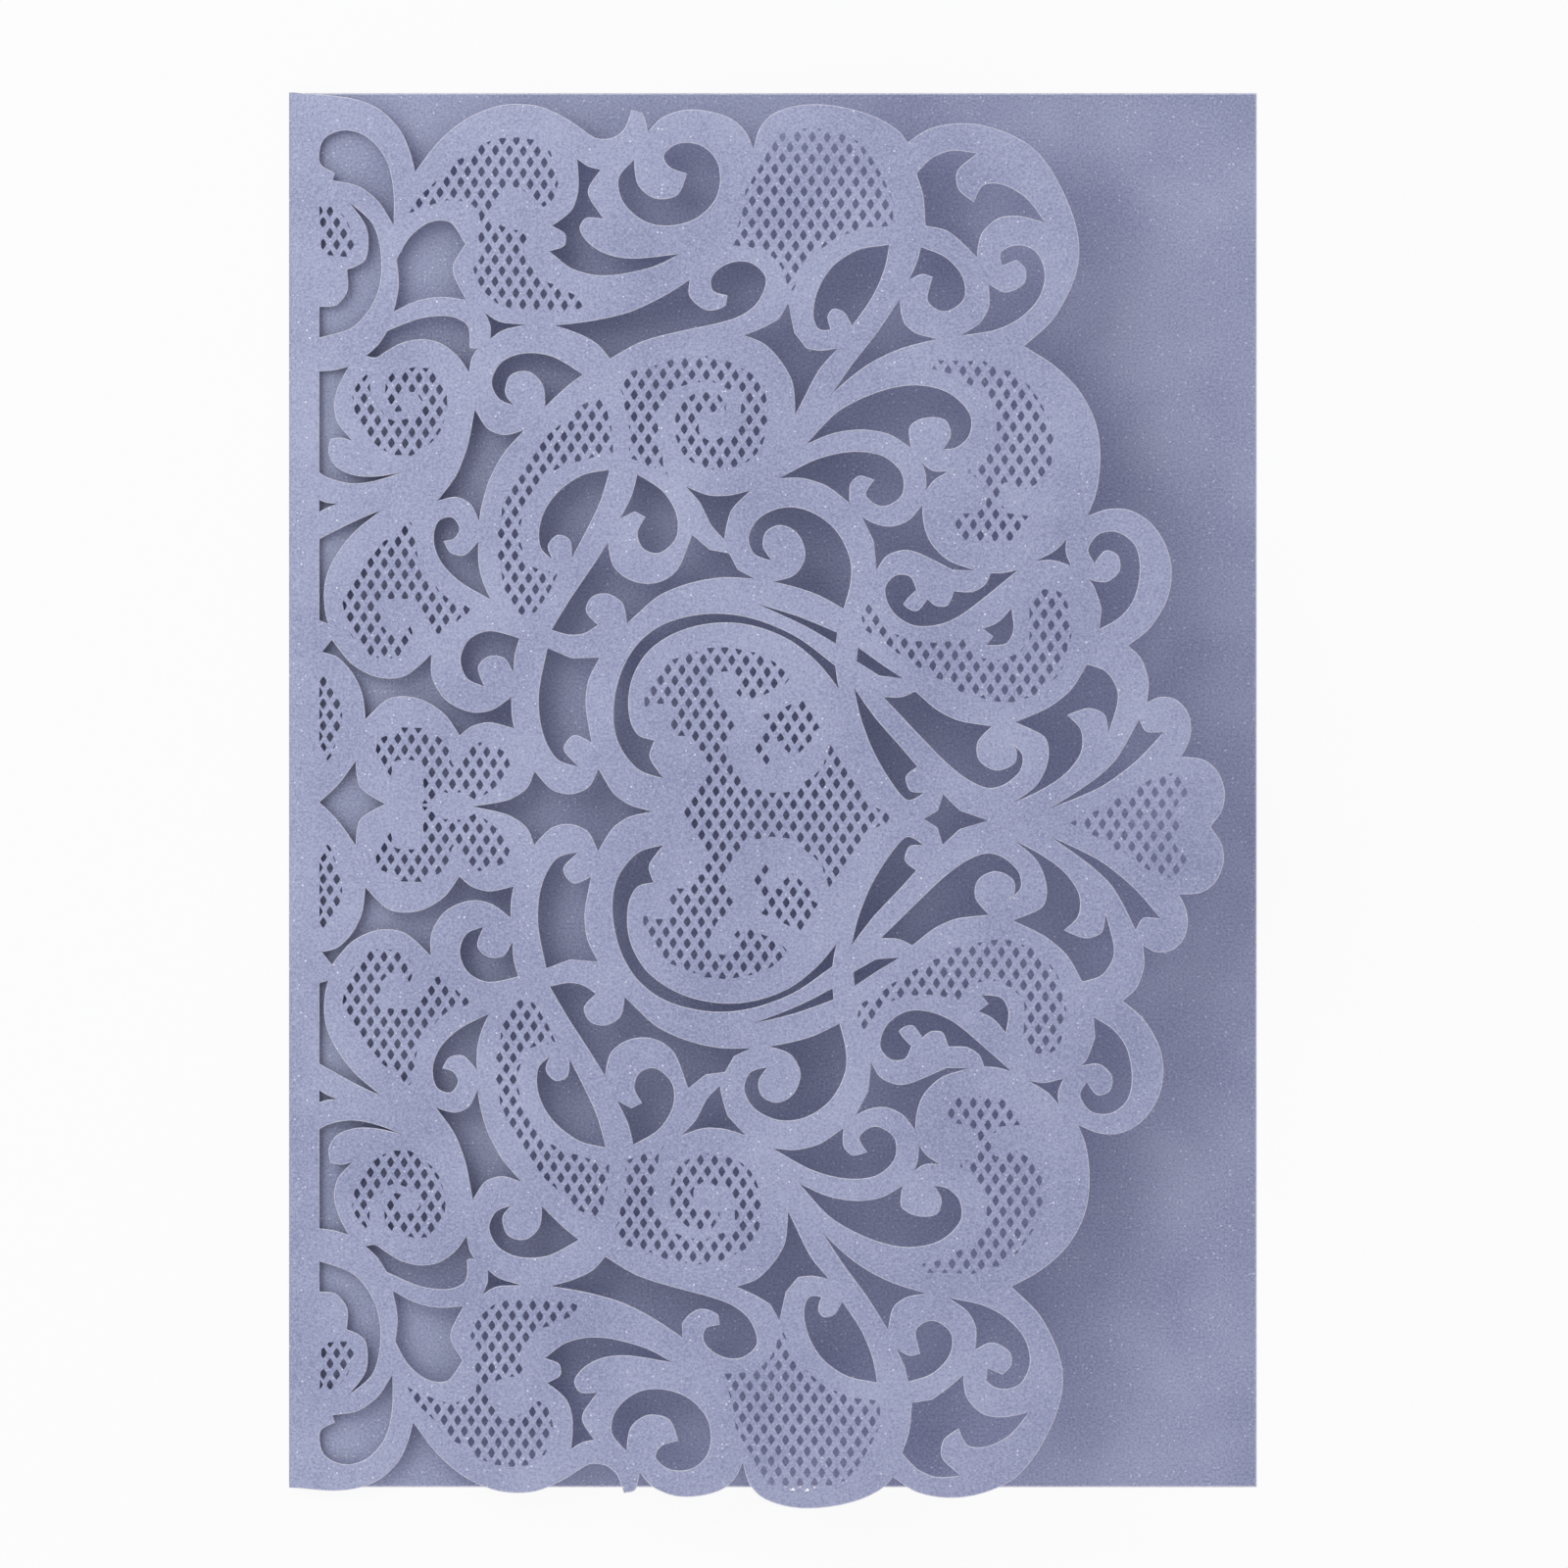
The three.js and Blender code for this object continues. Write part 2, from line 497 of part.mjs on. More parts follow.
function insideField(point, field) {
  let inside = false;
  for (let i = 0, j = field.length - 1; i < field.length; j = i, i += 1) {
    const [ax, ay] = field[i];
    const [bx, by] = field[j];
    const crosses = (ay > point[1]) !== (by > point[1]);
    if (crosses && point[0] < (bx - ax) * (point[1] - ay) / (by - ay) + ax) {
      inside = !inside;
    }
  }
  return inside;
}

function diamondAt(along, across, grow) {
  const halfWidth = lattice.diamondWidth / 2 + grow;
  const halfHeight = lattice.diamondHeight / 2 + grow;
  return [
    [along + halfWidth, across],
    [along, across + halfHeight],
    [along - halfWidth, across],
    [along, across - halfHeight],
  ];
}

function latticeDiamonds() {
  const diamonds = [];
  const rows = Math.ceil(drawnTop / lattice.pitchAcross);
  const columns = Math.ceil(drawnReach / lattice.pitchAlong);
  for (let row = -rows; row <= rows; row += 1) {
    const across = lattice.originAcross + row * lattice.pitchAcross;
    const stagger = row % 2 === 0 ? 0 : lattice.pitchAlong / 2;
    for (let column = -columns; column <= columns; column += 1) {
      const along = lattice.originAlong + column * lattice.pitchAlong + stagger;
      const rim = diamondAt(along, across, lattice.rim);
      if (latticeFields.some((field) => rim.every((tip) => insideField(tip, field)))) {
        diamonds.push(diamondAt(along, across, 0));
      }
    }
  }
  return diamonds;
}

function openings() {
  const drawn = Object.values(cutOuts).flatMap((spans) => [spans, mirroredSpans(spans)]);
  const onAxis = Object.values(axisCutOuts).map(doubledSpans);
  const diamonds = latticeDiamonds();
  return [
    ...[...drawn, ...onAxis].map(closedOutline),
    ...diamonds.map((diamond) => diamond.map(onFlap)),
    ...diamonds.map((diamond) => diamond.map(mirrored).map(onFlap)),
  ];
}

function angleAt(tip, left, right) {
  const a = left.clone().sub(tip);
  const b = right.clone().sub(tip);
  return Math.abs(Math.atan2(a.cross(b), a.dot(b)));
}

function turnsLeft(a, b, c) {
  return b.clone().sub(a).cross(c.clone().sub(a)) > 1e-3;
}

function orderedTriangle(points, a, b, c) {
  const doubleArea = points[b].clone().sub(points[a]).cross(points[c].clone().sub(points[a]));
  return doubleArea >= 0 ? [a, b, c] : [a, c, b];
}

// Swaps the shared side of neighbouring triangles wherever that makes both of them less thin.
function withoutSlivers(points, faces) {
  const triangles = faces.map(([a, b, c]) => orderedTriangle(points, a, b, c));
  let changed = true;
  for (let pass = 0; changed && pass < 60; pass += 1) {
    changed = false;
    const owners = new Map();
    triangles.forEach((triangle, index) => {
      triangle.forEach((a, corner) => {
        const b = triangle[(corner + 1) % 3];
        owners.set(`${a} ${b}`, { index, apex: triangle[(corner + 2) % 3], a, b });
      });
    });
    const touched = new Set();
    owners.forEach(({ index, apex, a, b }) => {
      const other = owners.get(`${b} ${a}`);
      if (!other || a > b || touched.has(index) || touched.has(other.index)) {
        return;
      }
      const facing = angleAt(points[apex], points[a], points[b])
        + angleAt(points[other.apex], points[a], points[b]);
      const convex = turnsLeft(points[apex], points[a], points[other.apex])
        && turnsLeft(points[other.apex], points[b], points[apex]);
      if (facing > Math.PI + 1e-6 && convex) {
        triangles[index] = [apex, a, other.apex];
        triangles[other.index] = [other.apex, b, apex];
        touched.add(index).add(other.index);
        changed = true;
      }
    });
  }
  return triangles;
}

// Collects the triangles of one closed skin. Each face is given the direction it should look.
class Skin {
  constructor() {
    this.positions = [];
    this.indices = [];
  }

  vertex(x, y, z) {
    this.positions.push(x, y, z);
    return this.positions.length / 3 - 1;
  }

  at(index) {
    return new THREE.Vector3().fromArray(this.positions, index * 3);
  }

  triangle(a, b, c, outward) {
    const [pa, pb, pc] = [this.at(a), this.at(b), this.at(c)];
    const normal = pb.sub(pa).cross(pc.sub(pa));
    if (normal.dot(outward) >= 0) {
      this.indices.push(a, b, c);
    } else {
      this.indices.push(a, c, b);
    }
  }

  quad(a, b, c, d, outward) {
    this.triangle(a, b, c, outward);
    this.triangle(a, c, d, outward);
  }

  geometry() {
    const geometry = new THREE.BufferGeometry();
    geometry.setAttribute('position', new THREE.Float32BufferAttribute(this.positions, 3));
    geometry.setIndex(this.indices);
    geometry.computeVertexNormals();
    return geometry;
  }
}

function orient(loop, counterClockwise) {
  const isCounterClockwise = THREE.ShapeUtils.area(loop) > 0;
  return isCounterClockwise === counterClockwise ? loop : [...loop].reverse();
}

const flapDirection = new THREE.Vector3(Math.cos(lift), 0, Math.sin(lift));
const flapNormal = new THREE.Vector3(-Math.sin(lift), 0, Math.cos(lift));

function flapPoint(distance, height, depth) {
  const start = bendCentre.x + flapNormal.x * bendRadius;
  const base = new THREE.Vector3(start, height, bendCentre.y + flapNormal.z * bendRadius);
  return base
    .addScaledVector(flapDirection, distance - flapStart)
    .addScaledVector(flapNormal, -depth);
}

function addFlap(skin) {
  const contour = orient(flapOutline(), true);
  const holes = openings().map((loop) => orient(loop, false));
  const loops = [contour, ...holes];
  const faces = withoutSlivers(loops.flat(), THREE.ShapeUtils.triangulateShape(contour, holes));
  const rings = loops.map((loop) => loop.map((point) => {
    const outer = flapPoint(point.x, point.y, 0);
    const inner = flapPoint(point.x, point.y, card.thickness);
    return [skin.vertex(outer.x, outer.y, outer.z), skin.vertex(inner.x, inner.y, inner.z)];
  }));
  const flat = rings.flat();
  const down = flapNormal.clone().negate();
  faces.forEach(([a, b, c]) => {
    skin.triangle(flat[a][0], flat[b][0], flat[c][0], flapNormal);
    skin.triangle(flat[a][1], flat[b][1], flat[c][1], down);
  });
  let foldEnds = null;
  loops.forEach((loop, ringIndex) => {
    const ring = rings[ringIndex];
    loop.forEach((point, index) => {
      const next = (index + 1) % loop.length;
      const following = loop[next];
      const atFold = point.x === flapStart && following.x === flapStart;
      if (atFold) {
        foldEnds = { top: ring[index], bottom: ring[next] };
        return;
      }
      const outward = flapDirection.clone().multiplyScalar(following.y - point.y);
      outward.y -= following.x - point.x;
      skin.quad(ring[index][0], ring[next][0], ring[next][1], ring[index][1], outward);
    });
  });
  return foldEnds;
}

// The bend and the panel go on from the two ends of the flap, so that all is one skin.
function addBendAndPanel(skin, foldEnds) {
  const half = card.height / 2;
  const flapAngle = Math.PI / 2 + lift;
  const panelAngle = 1.5 * Math.PI;
  const up = new THREE.Vector3(0, 1, 0);
  const down = new THREE.Vector3(0, -1, 0);
  let previous = foldEnds;
  for (let step = 1; step <= fold.steps; step += 1) {
    const angle = flapAngle + (panelAngle - flapAngle) * step / fold.steps;
    const ray = new THREE.Vector2(Math.cos(angle), Math.sin(angle));
    const row = (height) => [bendRadius, fold.insideRadius].map((radius) => skin.vertex(
      bendCentre.x + ray.x * radius,
      height,
      bendCentre.y + ray.y * radius,
    ));
    const current = { top: row(half), bottom: row(-half) };
    const outward = new THREE.Vector3(ray.x, 0, ray.y);
    const inward = outward.clone().negate();
    skin.quad(previous.top[0], previous.bottom[0], current.bottom[0], current.top[0], outward);
    skin.quad(previous.top[1], previous.bottom[1], current.bottom[1], current.top[1], inward);
    skin.quad(previous.top[0], current.top[0], current.top[1], previous.top[1], up);
    skin.quad(previous.bottom[0], current.bottom[0], current.bottom[1], previous.bottom[1], down);
    previous = current;
  }
  const right = card.width / 2;
  const far = (height) => [skin.vertex(right, height, 0), skin.vertex(right, height, card.thickness)];
  const end = { top: far(half), bottom: far(-half) };
  const below = new THREE.Vector3(0, 0, -1);
  const above = new THREE.Vector3(0, 0, 1);
  const side = new THREE.Vector3(1, 0, 0);
  skin.quad(previous.top[0], previous.bottom[0], end.bottom[0], end.top[0], below);
  skin.quad(previous.top[1], previous.bottom[1], end.bottom[1], end.top[1], above);
  skin.quad(previous.top[0], end.top[0], end.top[1], previous.top[1], up);
  skin.quad(previous.bottom[0], end.bottom[0], end.bottom[1], previous.bottom[1], down);
  skin.quad(end.top[0], end.bottom[0], end.bottom[1], end.top[1], side);
}

const cardStock = new THREE.MeshStandardMaterial({
  name: 'pearl_card',
  color: 0x9aa0be,
  metalness: 0.1,
  roughness: 0.5,
});

const skin = new Skin();
addBendAndPanel(skin, addFlap(skin));
const foldedCard = new THREE.Mesh(skin.geometry(), cardStock);
foldedCard.name = 'folded_card';

const group = new THREE.Group();
group.name = 'lace_fronted_folded_card';
group.add(foldedCard);

export default group;
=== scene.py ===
"""Dresses a folded invitation card: one pearlescent sheet with a front flap cut into lace.

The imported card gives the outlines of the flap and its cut-outs. They are redrawn here as smooth
curves, and the fields of the lace are perforated with the fine diamonds of the real card.
Metres in the row frame, +X from the fold to the free edge, +Y up the card, +Z out of the front.
Lengths with the ending _mm are millimetres, and so are the flat drawings of the sheet.
"""

from __future__ import annotations

import logging
import math
from dataclasses import dataclass, field
from enum import Enum

import bmesh
import bpy
from mathutils import Matrix, Vector
from mathutils.geometry import delaunay_2d_cdt

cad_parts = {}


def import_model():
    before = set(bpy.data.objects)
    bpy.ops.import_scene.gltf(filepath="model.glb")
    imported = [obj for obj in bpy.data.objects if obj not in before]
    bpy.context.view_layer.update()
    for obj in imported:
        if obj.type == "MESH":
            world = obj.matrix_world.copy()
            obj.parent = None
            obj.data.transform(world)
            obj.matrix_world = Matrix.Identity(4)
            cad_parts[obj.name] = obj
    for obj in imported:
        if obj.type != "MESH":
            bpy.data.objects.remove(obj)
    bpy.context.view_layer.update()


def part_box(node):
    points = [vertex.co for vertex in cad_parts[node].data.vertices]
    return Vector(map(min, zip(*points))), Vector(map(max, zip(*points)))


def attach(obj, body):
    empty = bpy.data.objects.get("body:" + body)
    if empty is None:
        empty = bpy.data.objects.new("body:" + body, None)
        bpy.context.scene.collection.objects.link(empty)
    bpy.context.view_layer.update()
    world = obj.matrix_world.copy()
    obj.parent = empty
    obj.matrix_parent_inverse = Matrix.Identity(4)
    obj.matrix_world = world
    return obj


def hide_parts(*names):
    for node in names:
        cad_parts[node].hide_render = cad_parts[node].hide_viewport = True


LOG = logging.getLogger("card")
MM = 0.001
# Two places of the drawing closer than the first are the same. Points of one mesh closer than the
# second are one point.
SAME_MM = 1e-4
FINEST_MM = 1e-6
# Blender's triangulation: the kind of output that keeps what the outer line holds, and its tolerance.
INSIDE_OUTLINE = 1
TRIANGULATION_MM = 1e-5

Point = tuple[float, float]
Outline = list[Point]


def linear(hex_colour: str) -> tuple[float, float, float, float]:
    """Turns an sRGB hex value into the linear colour that a shader takes.

    Args:
        hex_colour: six hex digits, red first.

    Returns:
        Red, green, blue and an alpha of 1.
    """
    channels = [int(hex_colour[i : i + 2], 16) / 255 for i in (0, 2, 4)]
    red, green, blue = (c / 12.92 if c <= 0.04045 else ((c + 0.055) / 1.055) ** 2.4 for c in channels)
    return red, green, blue, 1.0


def add_node(
    tree: bpy.types.NodeTree,
    kind: str,
    settings: dict | None = None,
    **links: bpy.types.NodeSocket,
) -> bpy.types.Node:
    """Adds one node with its settings, values and links.

    Args:
        tree: the tree that the node goes into.
        kind: the node's type name.
        settings: attributes of the node, and under an input's name its plain value.
        links: an output socket for each input, whose name has underscores for its spaces.

    Returns:
        The new node.
    """
    node = tree.nodes.new(kind)
    for name, value in (settings or {}).items():
        if hasattr(node, name):
            setattr(node, name, value)
        else:
            node.inputs[name].default_value = value
    for name, socket in links.items():
        number = name.removeprefix("input_")
        key = int(number) if number.isdigit() else name.replace("_", " ")
        tree.links.new(socket, node.inputs[key])
    return node


def set_ramp(
    ramp: bpy.types.Node, positions: tuple[float, float], hex_colours: tuple[str, str],
) -> None:
    """Sets the two stops of a colour ramp.

    Args:
        ramp: the colour ramp node.
        positions: where its two stops are, from 0 to 1.
        hex_colours: the colours of the stops.
    """
    for stop, position, colour in zip(ramp.color_ramp.elements, positions, hex_colours):
        stop.position = position
        stop.color = linear(colour)


class FieldSide(Enum):
    """Where a field of the lattice is drawn: once above and once below the axis, or across it."""

    BOTH_HALVES = "both"
    ACROSS_AXIS = "across"


@dataclass(frozen=True)
class SheetSizes:
    """Sizes of the folded sheet, as it was scored and cut."""

    thickness_mm: float = 0.3
    inside_radius_mm: float = 0.35
    lift_deg: float = 7.0
    worn_edge_mm: float = 0.11
    worn_rim_mm: float = 0.2
    rim_run_out_mm: float = 1.5
    margin_mm: float = 4.04
    reach_mm: float = 122.9
    bend_steps: int = 24

    @property
    def lift(self) -> float:
        """How far the flap has sprung open, in radians."""
        return math.radians(self.lift_deg)

    @property
    def outer_radius_mm(self) -> float:
        """Radius of the outside of the bend."""
        return self.inside_radius_mm + self.thickness_mm

    @property
    def flap_start_mm(self) -> float:
        """Distance from the fold's corner at which the flap is flat."""
        return self.outer_radius_mm * (1 - math.sin(self.lift)) / math.cos(self.lift)


@dataclass(frozen=True)
class PatternPlacing:
    """How the cutting pattern, drawn as its upper half, is laid on the flap."""

    sheet: SheetSizes
    reach_mm: float = 122.7
    drop_mm: float = 1.48
    slope: float = 0.0274
    spread: float = 0.000148
    lean: float = -0.0009
    bow: float = 0.0000968
    narrowing: float = 0.0001

    def on_flap(self, point: Point) -> Point:
        """Gives the distance from the start of the flap and the height of a drawn point.

        Args:
            point: distance along the axis from the fold, and distance above the axis.

        Returns:
            The same point in the flat drawing of the flap.
        """
        along, across = point
        margin = self.sheet.margin_mm
        scale = (self.sheet.reach_mm - margin) / (self.reach_mm - margin)
        shifted = along + across * (self.spread * along + self.lean)
        past = 0.0 if along <= margin else shifted - margin
        bowed = across + self.bow * across * across
        height = (bowed - self.drop_mm - self.slope * along) * (1 - self.narrowing * along)
        return margin + past * scale - self.sheet.flap_start_mm, height


@dataclass(frozen=True)
class LatticeRule:
    """Where the small diamonds lie, row by row above and below the axis."""

    first_mm: float = 18.05
    pitch_along_mm: float = 1.805
    growth_along: float = 0.00095
    pitch_across_mm: float = 1.437
    shrink_across: float = 0.00022
    fan: float = 0.00038
    fan_start_mm: float = 45.0
    hole_width_mm: float = 0.985
    hole_height_mm: float = 1.48
    rows: int = 63
    columns: tuple[int, int] = (-9, 58)

    def place(self, column: float, row: int) -> Point:
        """Gives the centre of a diamond in the drawing of the pattern's upper half.

        Args:
            column: number of the diamond in its row.
            row: number of the row, 0 on the axis.

        Returns:
            Distance along the axis and above it.
        """
        across = self.pitch_across_mm * row - self.shrink_across * row * row
        along = self.first_mm + self.pitch_along_mm * column + self.growth_along * column * column
        return along + self.fan * across * max(0.0, along - self.fan_start_mm), across

    def tips(self, centre: Point) -> Outline:
        """Gives the four tips of the diamond at a centre.

        Args:
            centre: the diamond's centre in the drawing.

        Returns:
            The tips, anticlockwise from the left one.
        """
        along, across = centre
        half_width, half_height = self.hole_width_mm / 2, self.hole_height_mm / 2
        return [
            (along - half_width, across),
            (along, across - half_height),
            (along + half_width, across),
            (along, across + half_height),
        ]


# Fields of the lace, each drawn above the axis in millimetres: the band that the small diamonds fill.
CORNER_LEAF: Outline = [
    (4.05, 77.6), (6.2, 77.5), (7.6, 76), (8.8, 73.5), (8.7, 72), (7.8, 71.1), (5.3, 71.3), (4.3, 72.2),
]
TOP_SCROLL: Outline = [
    (15.8, 77), (17.2, 79.3), (19.3, 81.2), (21.3, 83.7), (24.2, 85), (25, 86.1), (27.5, 87),
    (30, 87.2), (32.3, 86.9), (34.3, 85.4), (35.1, 83), (35.3, 81.3), (34.6, 79.2), (33.4, 78.3),
    (32.5, 79), (31.2, 79.9), (30.3, 80.8), (28.2, 80.4), (27, 79), (26.6, 77.3), (26.8, 76.3),
    (28.2, 75.6), (29.5, 75.2), (31, 75.2), (31.5, 74), (30.7, 72.5), (31.2, 71), (32.2, 70),
    (33.4, 68.7), (35.2, 68.2), (37.5, 67), (39.3, 66), (38, 65.2), (35.5, 64.8), (31.5, 64.9),
    (29, 65.1), (27.3, 65.7), (25.9, 66.9), (24.9, 68.3), (24.2, 70), (25.2, 71.6), (25.6, 72.3),
    (24.9, 73.6), (24.9, 74.6), (25.6, 75.4), (25.1, 76.4), (24.9, 77.5), (24.1, 78.3),
    (22.5, 78.8), (20.7, 78.8), (18.9, 78.2), (17.2, 77.5),
]
FAR_SCROLL: Outline = [
    (57.8, 74), (58.8, 76.9), (59.4, 79), (59.6, 81.2), (62, 85.2), (62.9, 87.2), (64.2, 88.6),
    (66.5, 89.3), (69, 89.4), (71.8, 88.8), (74.3, 87.8), (75.9, 85.8), (77.4, 83.3), (78.5, 81),
    (78.8, 78.2), (78.4, 77), (75.6, 76.8), (73.5, 76.1), (71.5, 75.4), (70, 74.2), (68.6, 72.9),
    (67.5, 71.5), (66.7, 70), (65.9, 68.3), (65.1, 68.8), (64.9, 70.2), (64.3, 71.4), (63.3, 72.6),
    (61.8, 73.6), (59.5, 73.9),
]
FOLD_SWIRL: Outline = [
    (10.4, 56.2), (9.5, 55.2), (8.8, 54.3), (8.4, 53.2), (8.5, 52.4), (8.7, 51.2), (9.3, 50),
    (10, 48.7), (11, 47.3), (12.3, 46.3), (13.9, 45.6), (16.2, 45.6), (17.5, 46.4), (19.1, 47.6),
    (20.1, 49), (20.7, 50.9), (20.9, 52.5), (20.8, 53.7), (20.3, 54.7), (19.8, 56.2), (18.6, 57),
    (16.5, 57.1), (15.1, 56.7), (13.6, 56.2), (12.8, 55.2), (12.7, 53.8), (13.1, 52.3),
    (13.7, 51.4), (14.3, 51.2), (15, 51.4), (14.7, 52.3), (15.2, 53.6), (16, 53.9), (16.9, 53.7),
    (17.5, 52.7), (16.9, 51.5), (16, 50.5), (14, 50), (12.8, 50.5), (12.2, 51.5), (10.8, 53.5),
    (10.7, 55.5),
]
FOLD_FLOWER: Outline = [
    (16.1, 36.9), (16.5, 36.2), (16.8, 34.5), (16.9, 33.3), (17.1, 32.2), (17, 31.3), (17.7, 30.3),
    (18.3, 29.4), (19.4, 28.8), (20, 27.9), (20.5, 27.6), (21.3, 26.9), (22.2, 26.3), (23.3, 26.3),
    (24, 25.8), (23.7, 25.1), (22.9, 24.8), (22.2, 24.1), (21.3, 23.6), (20.2, 23.1), (20, 22.5),
    (19.3, 22.5), (19, 23.4), (18.4, 24.2), (17.9, 25), (17.4, 25.9), (16.8, 26.4), (15.7, 26.9),
    (14.2, 26.9), (12.9, 26.8), (12, 26.4), (11.7, 25.6), (12.2, 24.4), (12.2, 23.6), (12.9, 22.7),
    (13.5, 22.3), (14.6, 22.1), (15.5, 22.3), (15.7, 23.3), (16.1, 23.3), (16.4, 22.5),
    (16.2, 21.6), (16.3, 20.8), (15.7, 20), (15, 19.5), (13.5, 19.1), (11.5, 19.1), (10.3, 19.5),
    (9.4, 20.6), (8.6, 21.5), (8.1, 22.2), (8, 23.3), (7.4, 24.6), (7.1, 26.2), (7.5, 27.3),
    (8.3, 28.5), (9.1, 29.7), (9.9, 31), (10.8, 32.2), (11.9, 33.5), (12.6, 34.4), (13.9, 35),
    (14.6, 36), (15.4, 37),
]
LONG_BOW: Outline = [
    (40.9, 53.9), (41.7, 52.7), (42, 51.3), (42.4, 50), (42.6, 48), (42.6, 46.7), (41.4, 46.3),
    (40, 46), (38.6, 45.5), (37.3, 45.3), (36, 44.7), (34.8, 44.1), (34, 43.5), (33.4, 42.9),
    (32.3, 41.3), (31.3, 40), (30.8, 38.5), (30.7, 37.5), (30.4, 36.5), (30.45, 35), (30.7, 34.2),
    (30.9, 33.5), (30.7, 32.5), (31.3, 31.7), (32.3, 31.5), (33.6, 31), (34.6, 31), (35.4, 30.6),
    (35.1, 29.9), (34.4, 28.4), (33.5, 27), (32.5, 25.6), (31.2, 25), (30.3, 25.5), (29.4, 27),
    (28.5, 28.4), (28.2, 29.6), (28, 31), (27.5, 32.5), (27.5, 35.7), (27.9, 37.3), (28.1, 39.2),
    (29.2, 41.3), (29.9, 42.7), (30.6, 44), (31.3, 45.3), (32.3, 46.6), (33.2, 47.7),
    (34.2, 48.9), (35.4, 49.9), (36.5, 50.9), (37.3, 52), (38.7, 52.9), (39.8, 53.4),
]
SPIRAL: Outline = [
    (43.3, 55.3), (43.9, 56.8), (45.1, 57.4), (47, 58), (48.9, 58.3), (49.3, 58.7), (50.5, 59.1),
    (52, 59.3), (54, 59.6), (55.9, 59.5), (57.3, 59.1), (58.7, 58.4), (60.2, 57.7), (61.2, 57),
    (62, 55.9), (62.5, 54.6), (62.8, 53), (62.9, 51.2), (62.6, 49.8), (62.1, 48.3), (61.3, 47),
    (60.2, 46), (59, 45.5), (57.6, 44.9), (56, 44.8), (54.5, 45), (53, 45.7), (51.9, 46.6),
    (51.3, 47.6), (50.8, 48.9), (50.7, 50), (50.7, 51.5), (51.2, 52.8), (51.9, 53.7), (53, 54.6),
    (54.8, 54.9), (56.2, 54.9), (56.7, 54.2), (57.3, 53.4), (57.3, 52.5), (56, 52.4),
    (54.9, 52.2), (54, 51.6), (53.8, 50.8), (53.8, 49.7), (54.6, 48.9), (55.3, 48.5),
    (56.1, 48.7), (57, 49.3), (57.6, 49.2), (58.5, 50.5), (59.2, 52), (59.3, 53.5), (58.9, 54.8),
    (58, 55.2), (57.2, 55.5), (55.6, 56.2), (54, 56.2), (52.5, 55.9), (51.2, 55.4), (50.2, 54.8),
    (49.3, 53.9), (48.9, 52.8), (48.6, 51.5), (48.5, 50), (48.6, 48.7), (48.8, 47.3),
    (49.1, 46.2), (49.2, 45.2), (49.9, 43.9), (49.3, 44.4), (48.4, 45), (47.9, 44.8), (47, 45.2),
    (46.2, 45.6), (44.9, 46), (44.7, 47.5), (44.8, 49), (44.6, 51), (44.1, 52.6), (43.9, 54.2),
]
HOOK_BAND: Outline = [
    (84, 58.7), (84.7, 59.85), (90.9, 59.85), (92.3, 59), (94.1, 58.7), (95.3, 57.6), (96.6, 56.9),
    (97, 56.2), (97.8, 55.2), (98.8, 53.4), (99.3, 52.3), (99.7, 50.6), (99.9, 49.4),
    (99.7, 47.8), (99.6, 46.6), (99.1, 45.2), (98, 44.4), (97.1, 43.7), (95.9, 43.3), (95, 43.4),
    (94.2, 44.2), (93.5, 44.2), (93, 43.3), (92.8, 42.2), (93, 41.3), (93.6, 40.9), (94.2, 40.2),
    (95.4, 40.1), (97.2, 39.9), (97, 39.1), (96, 37.9), (94.9, 36.8), (93.4, 36.4), (91, 36.3),
    (88.9, 36.4), (87.9, 37.1), (87, 38.2), (86.6, 39.3), (87.2, 39.9), (89.3, 40.1),
    (90.2, 40.3), (91.1, 41), (91.3, 42.1), (91.1, 43), (90.9, 44.2), (89.9, 44.7), (88.9, 45.3),
    (88.9, 45.7), (89.7, 46), (90.6, 47), (91.6, 47.9), (92.4, 49.1), (92.5, 50.5), (92.4, 51.8),
    (92.6, 52.9), (91.9, 54.2), (90.9, 55.4), (89.9, 56.3), (89, 56.7), (87.6, 57.6),
    (86.5, 58.1), (85.3, 58.4),
]
FOLD_SHELL: Outline = [
    (4.05, 17.1), (5, 16.2), (5.9, 15), (6.8, 13.5), (7.1, 11.5), (6.7, 9.2), (6.2, 7.6), (5.6, 6),
    (4.8, 5.1), (4.9, 6.4), (4.3, 7.2), (4.05, 7.6),
]
INNER_LEAF: Outline = [
    (11.5, 7), (11.7, 7.9), (12.3, 8.7), (13.2, 9.1), (14.2, 9.5), (14.8, 10.1), (17.6, 10.1),
    (18.6, 9.4), (19.7, 9.1), (20.3, 8.6), (20.6, 8), (21.2, 7.3), (21.3, 6.3), (21.8, 5.3),
    (22.6, 5.3), (23, 6.2), (23.6, 6.8), (24.3, 7.9), (25.3, 8.5), (26.2, 8.1), (27.6, 7.8),
    (28.5, 7.3), (28.9, 6.6), (29.3, 5.6), (28.8, 5), (28.4, 3.9), (27.5, 2.8), (26.7, 2.1),
    (26, 1.6), (25, 1.3), (24.6, 0.9), (24, 1.3), (23, 1.8), (22, 1.8), (20.9, 1.7), (20, 2),
    (19.4, 1.2), (18.7, 0.6), (18.3, 0.2), (17.7, 0.2), (17.7, 0.9), (18.4, 1.4), (17.8, 2.6),
    (17.8, 3.9), (18.4, 4.6), (17.6, 5.3), (16.7, 5.8), (15.6, 5.9), (14.4, 5.8), (13.6, 5.3),
    (13.7, 4.4), (13.5, 3.7), (13.2, 4), (12.6, 5.1), (12.1, 6),
]
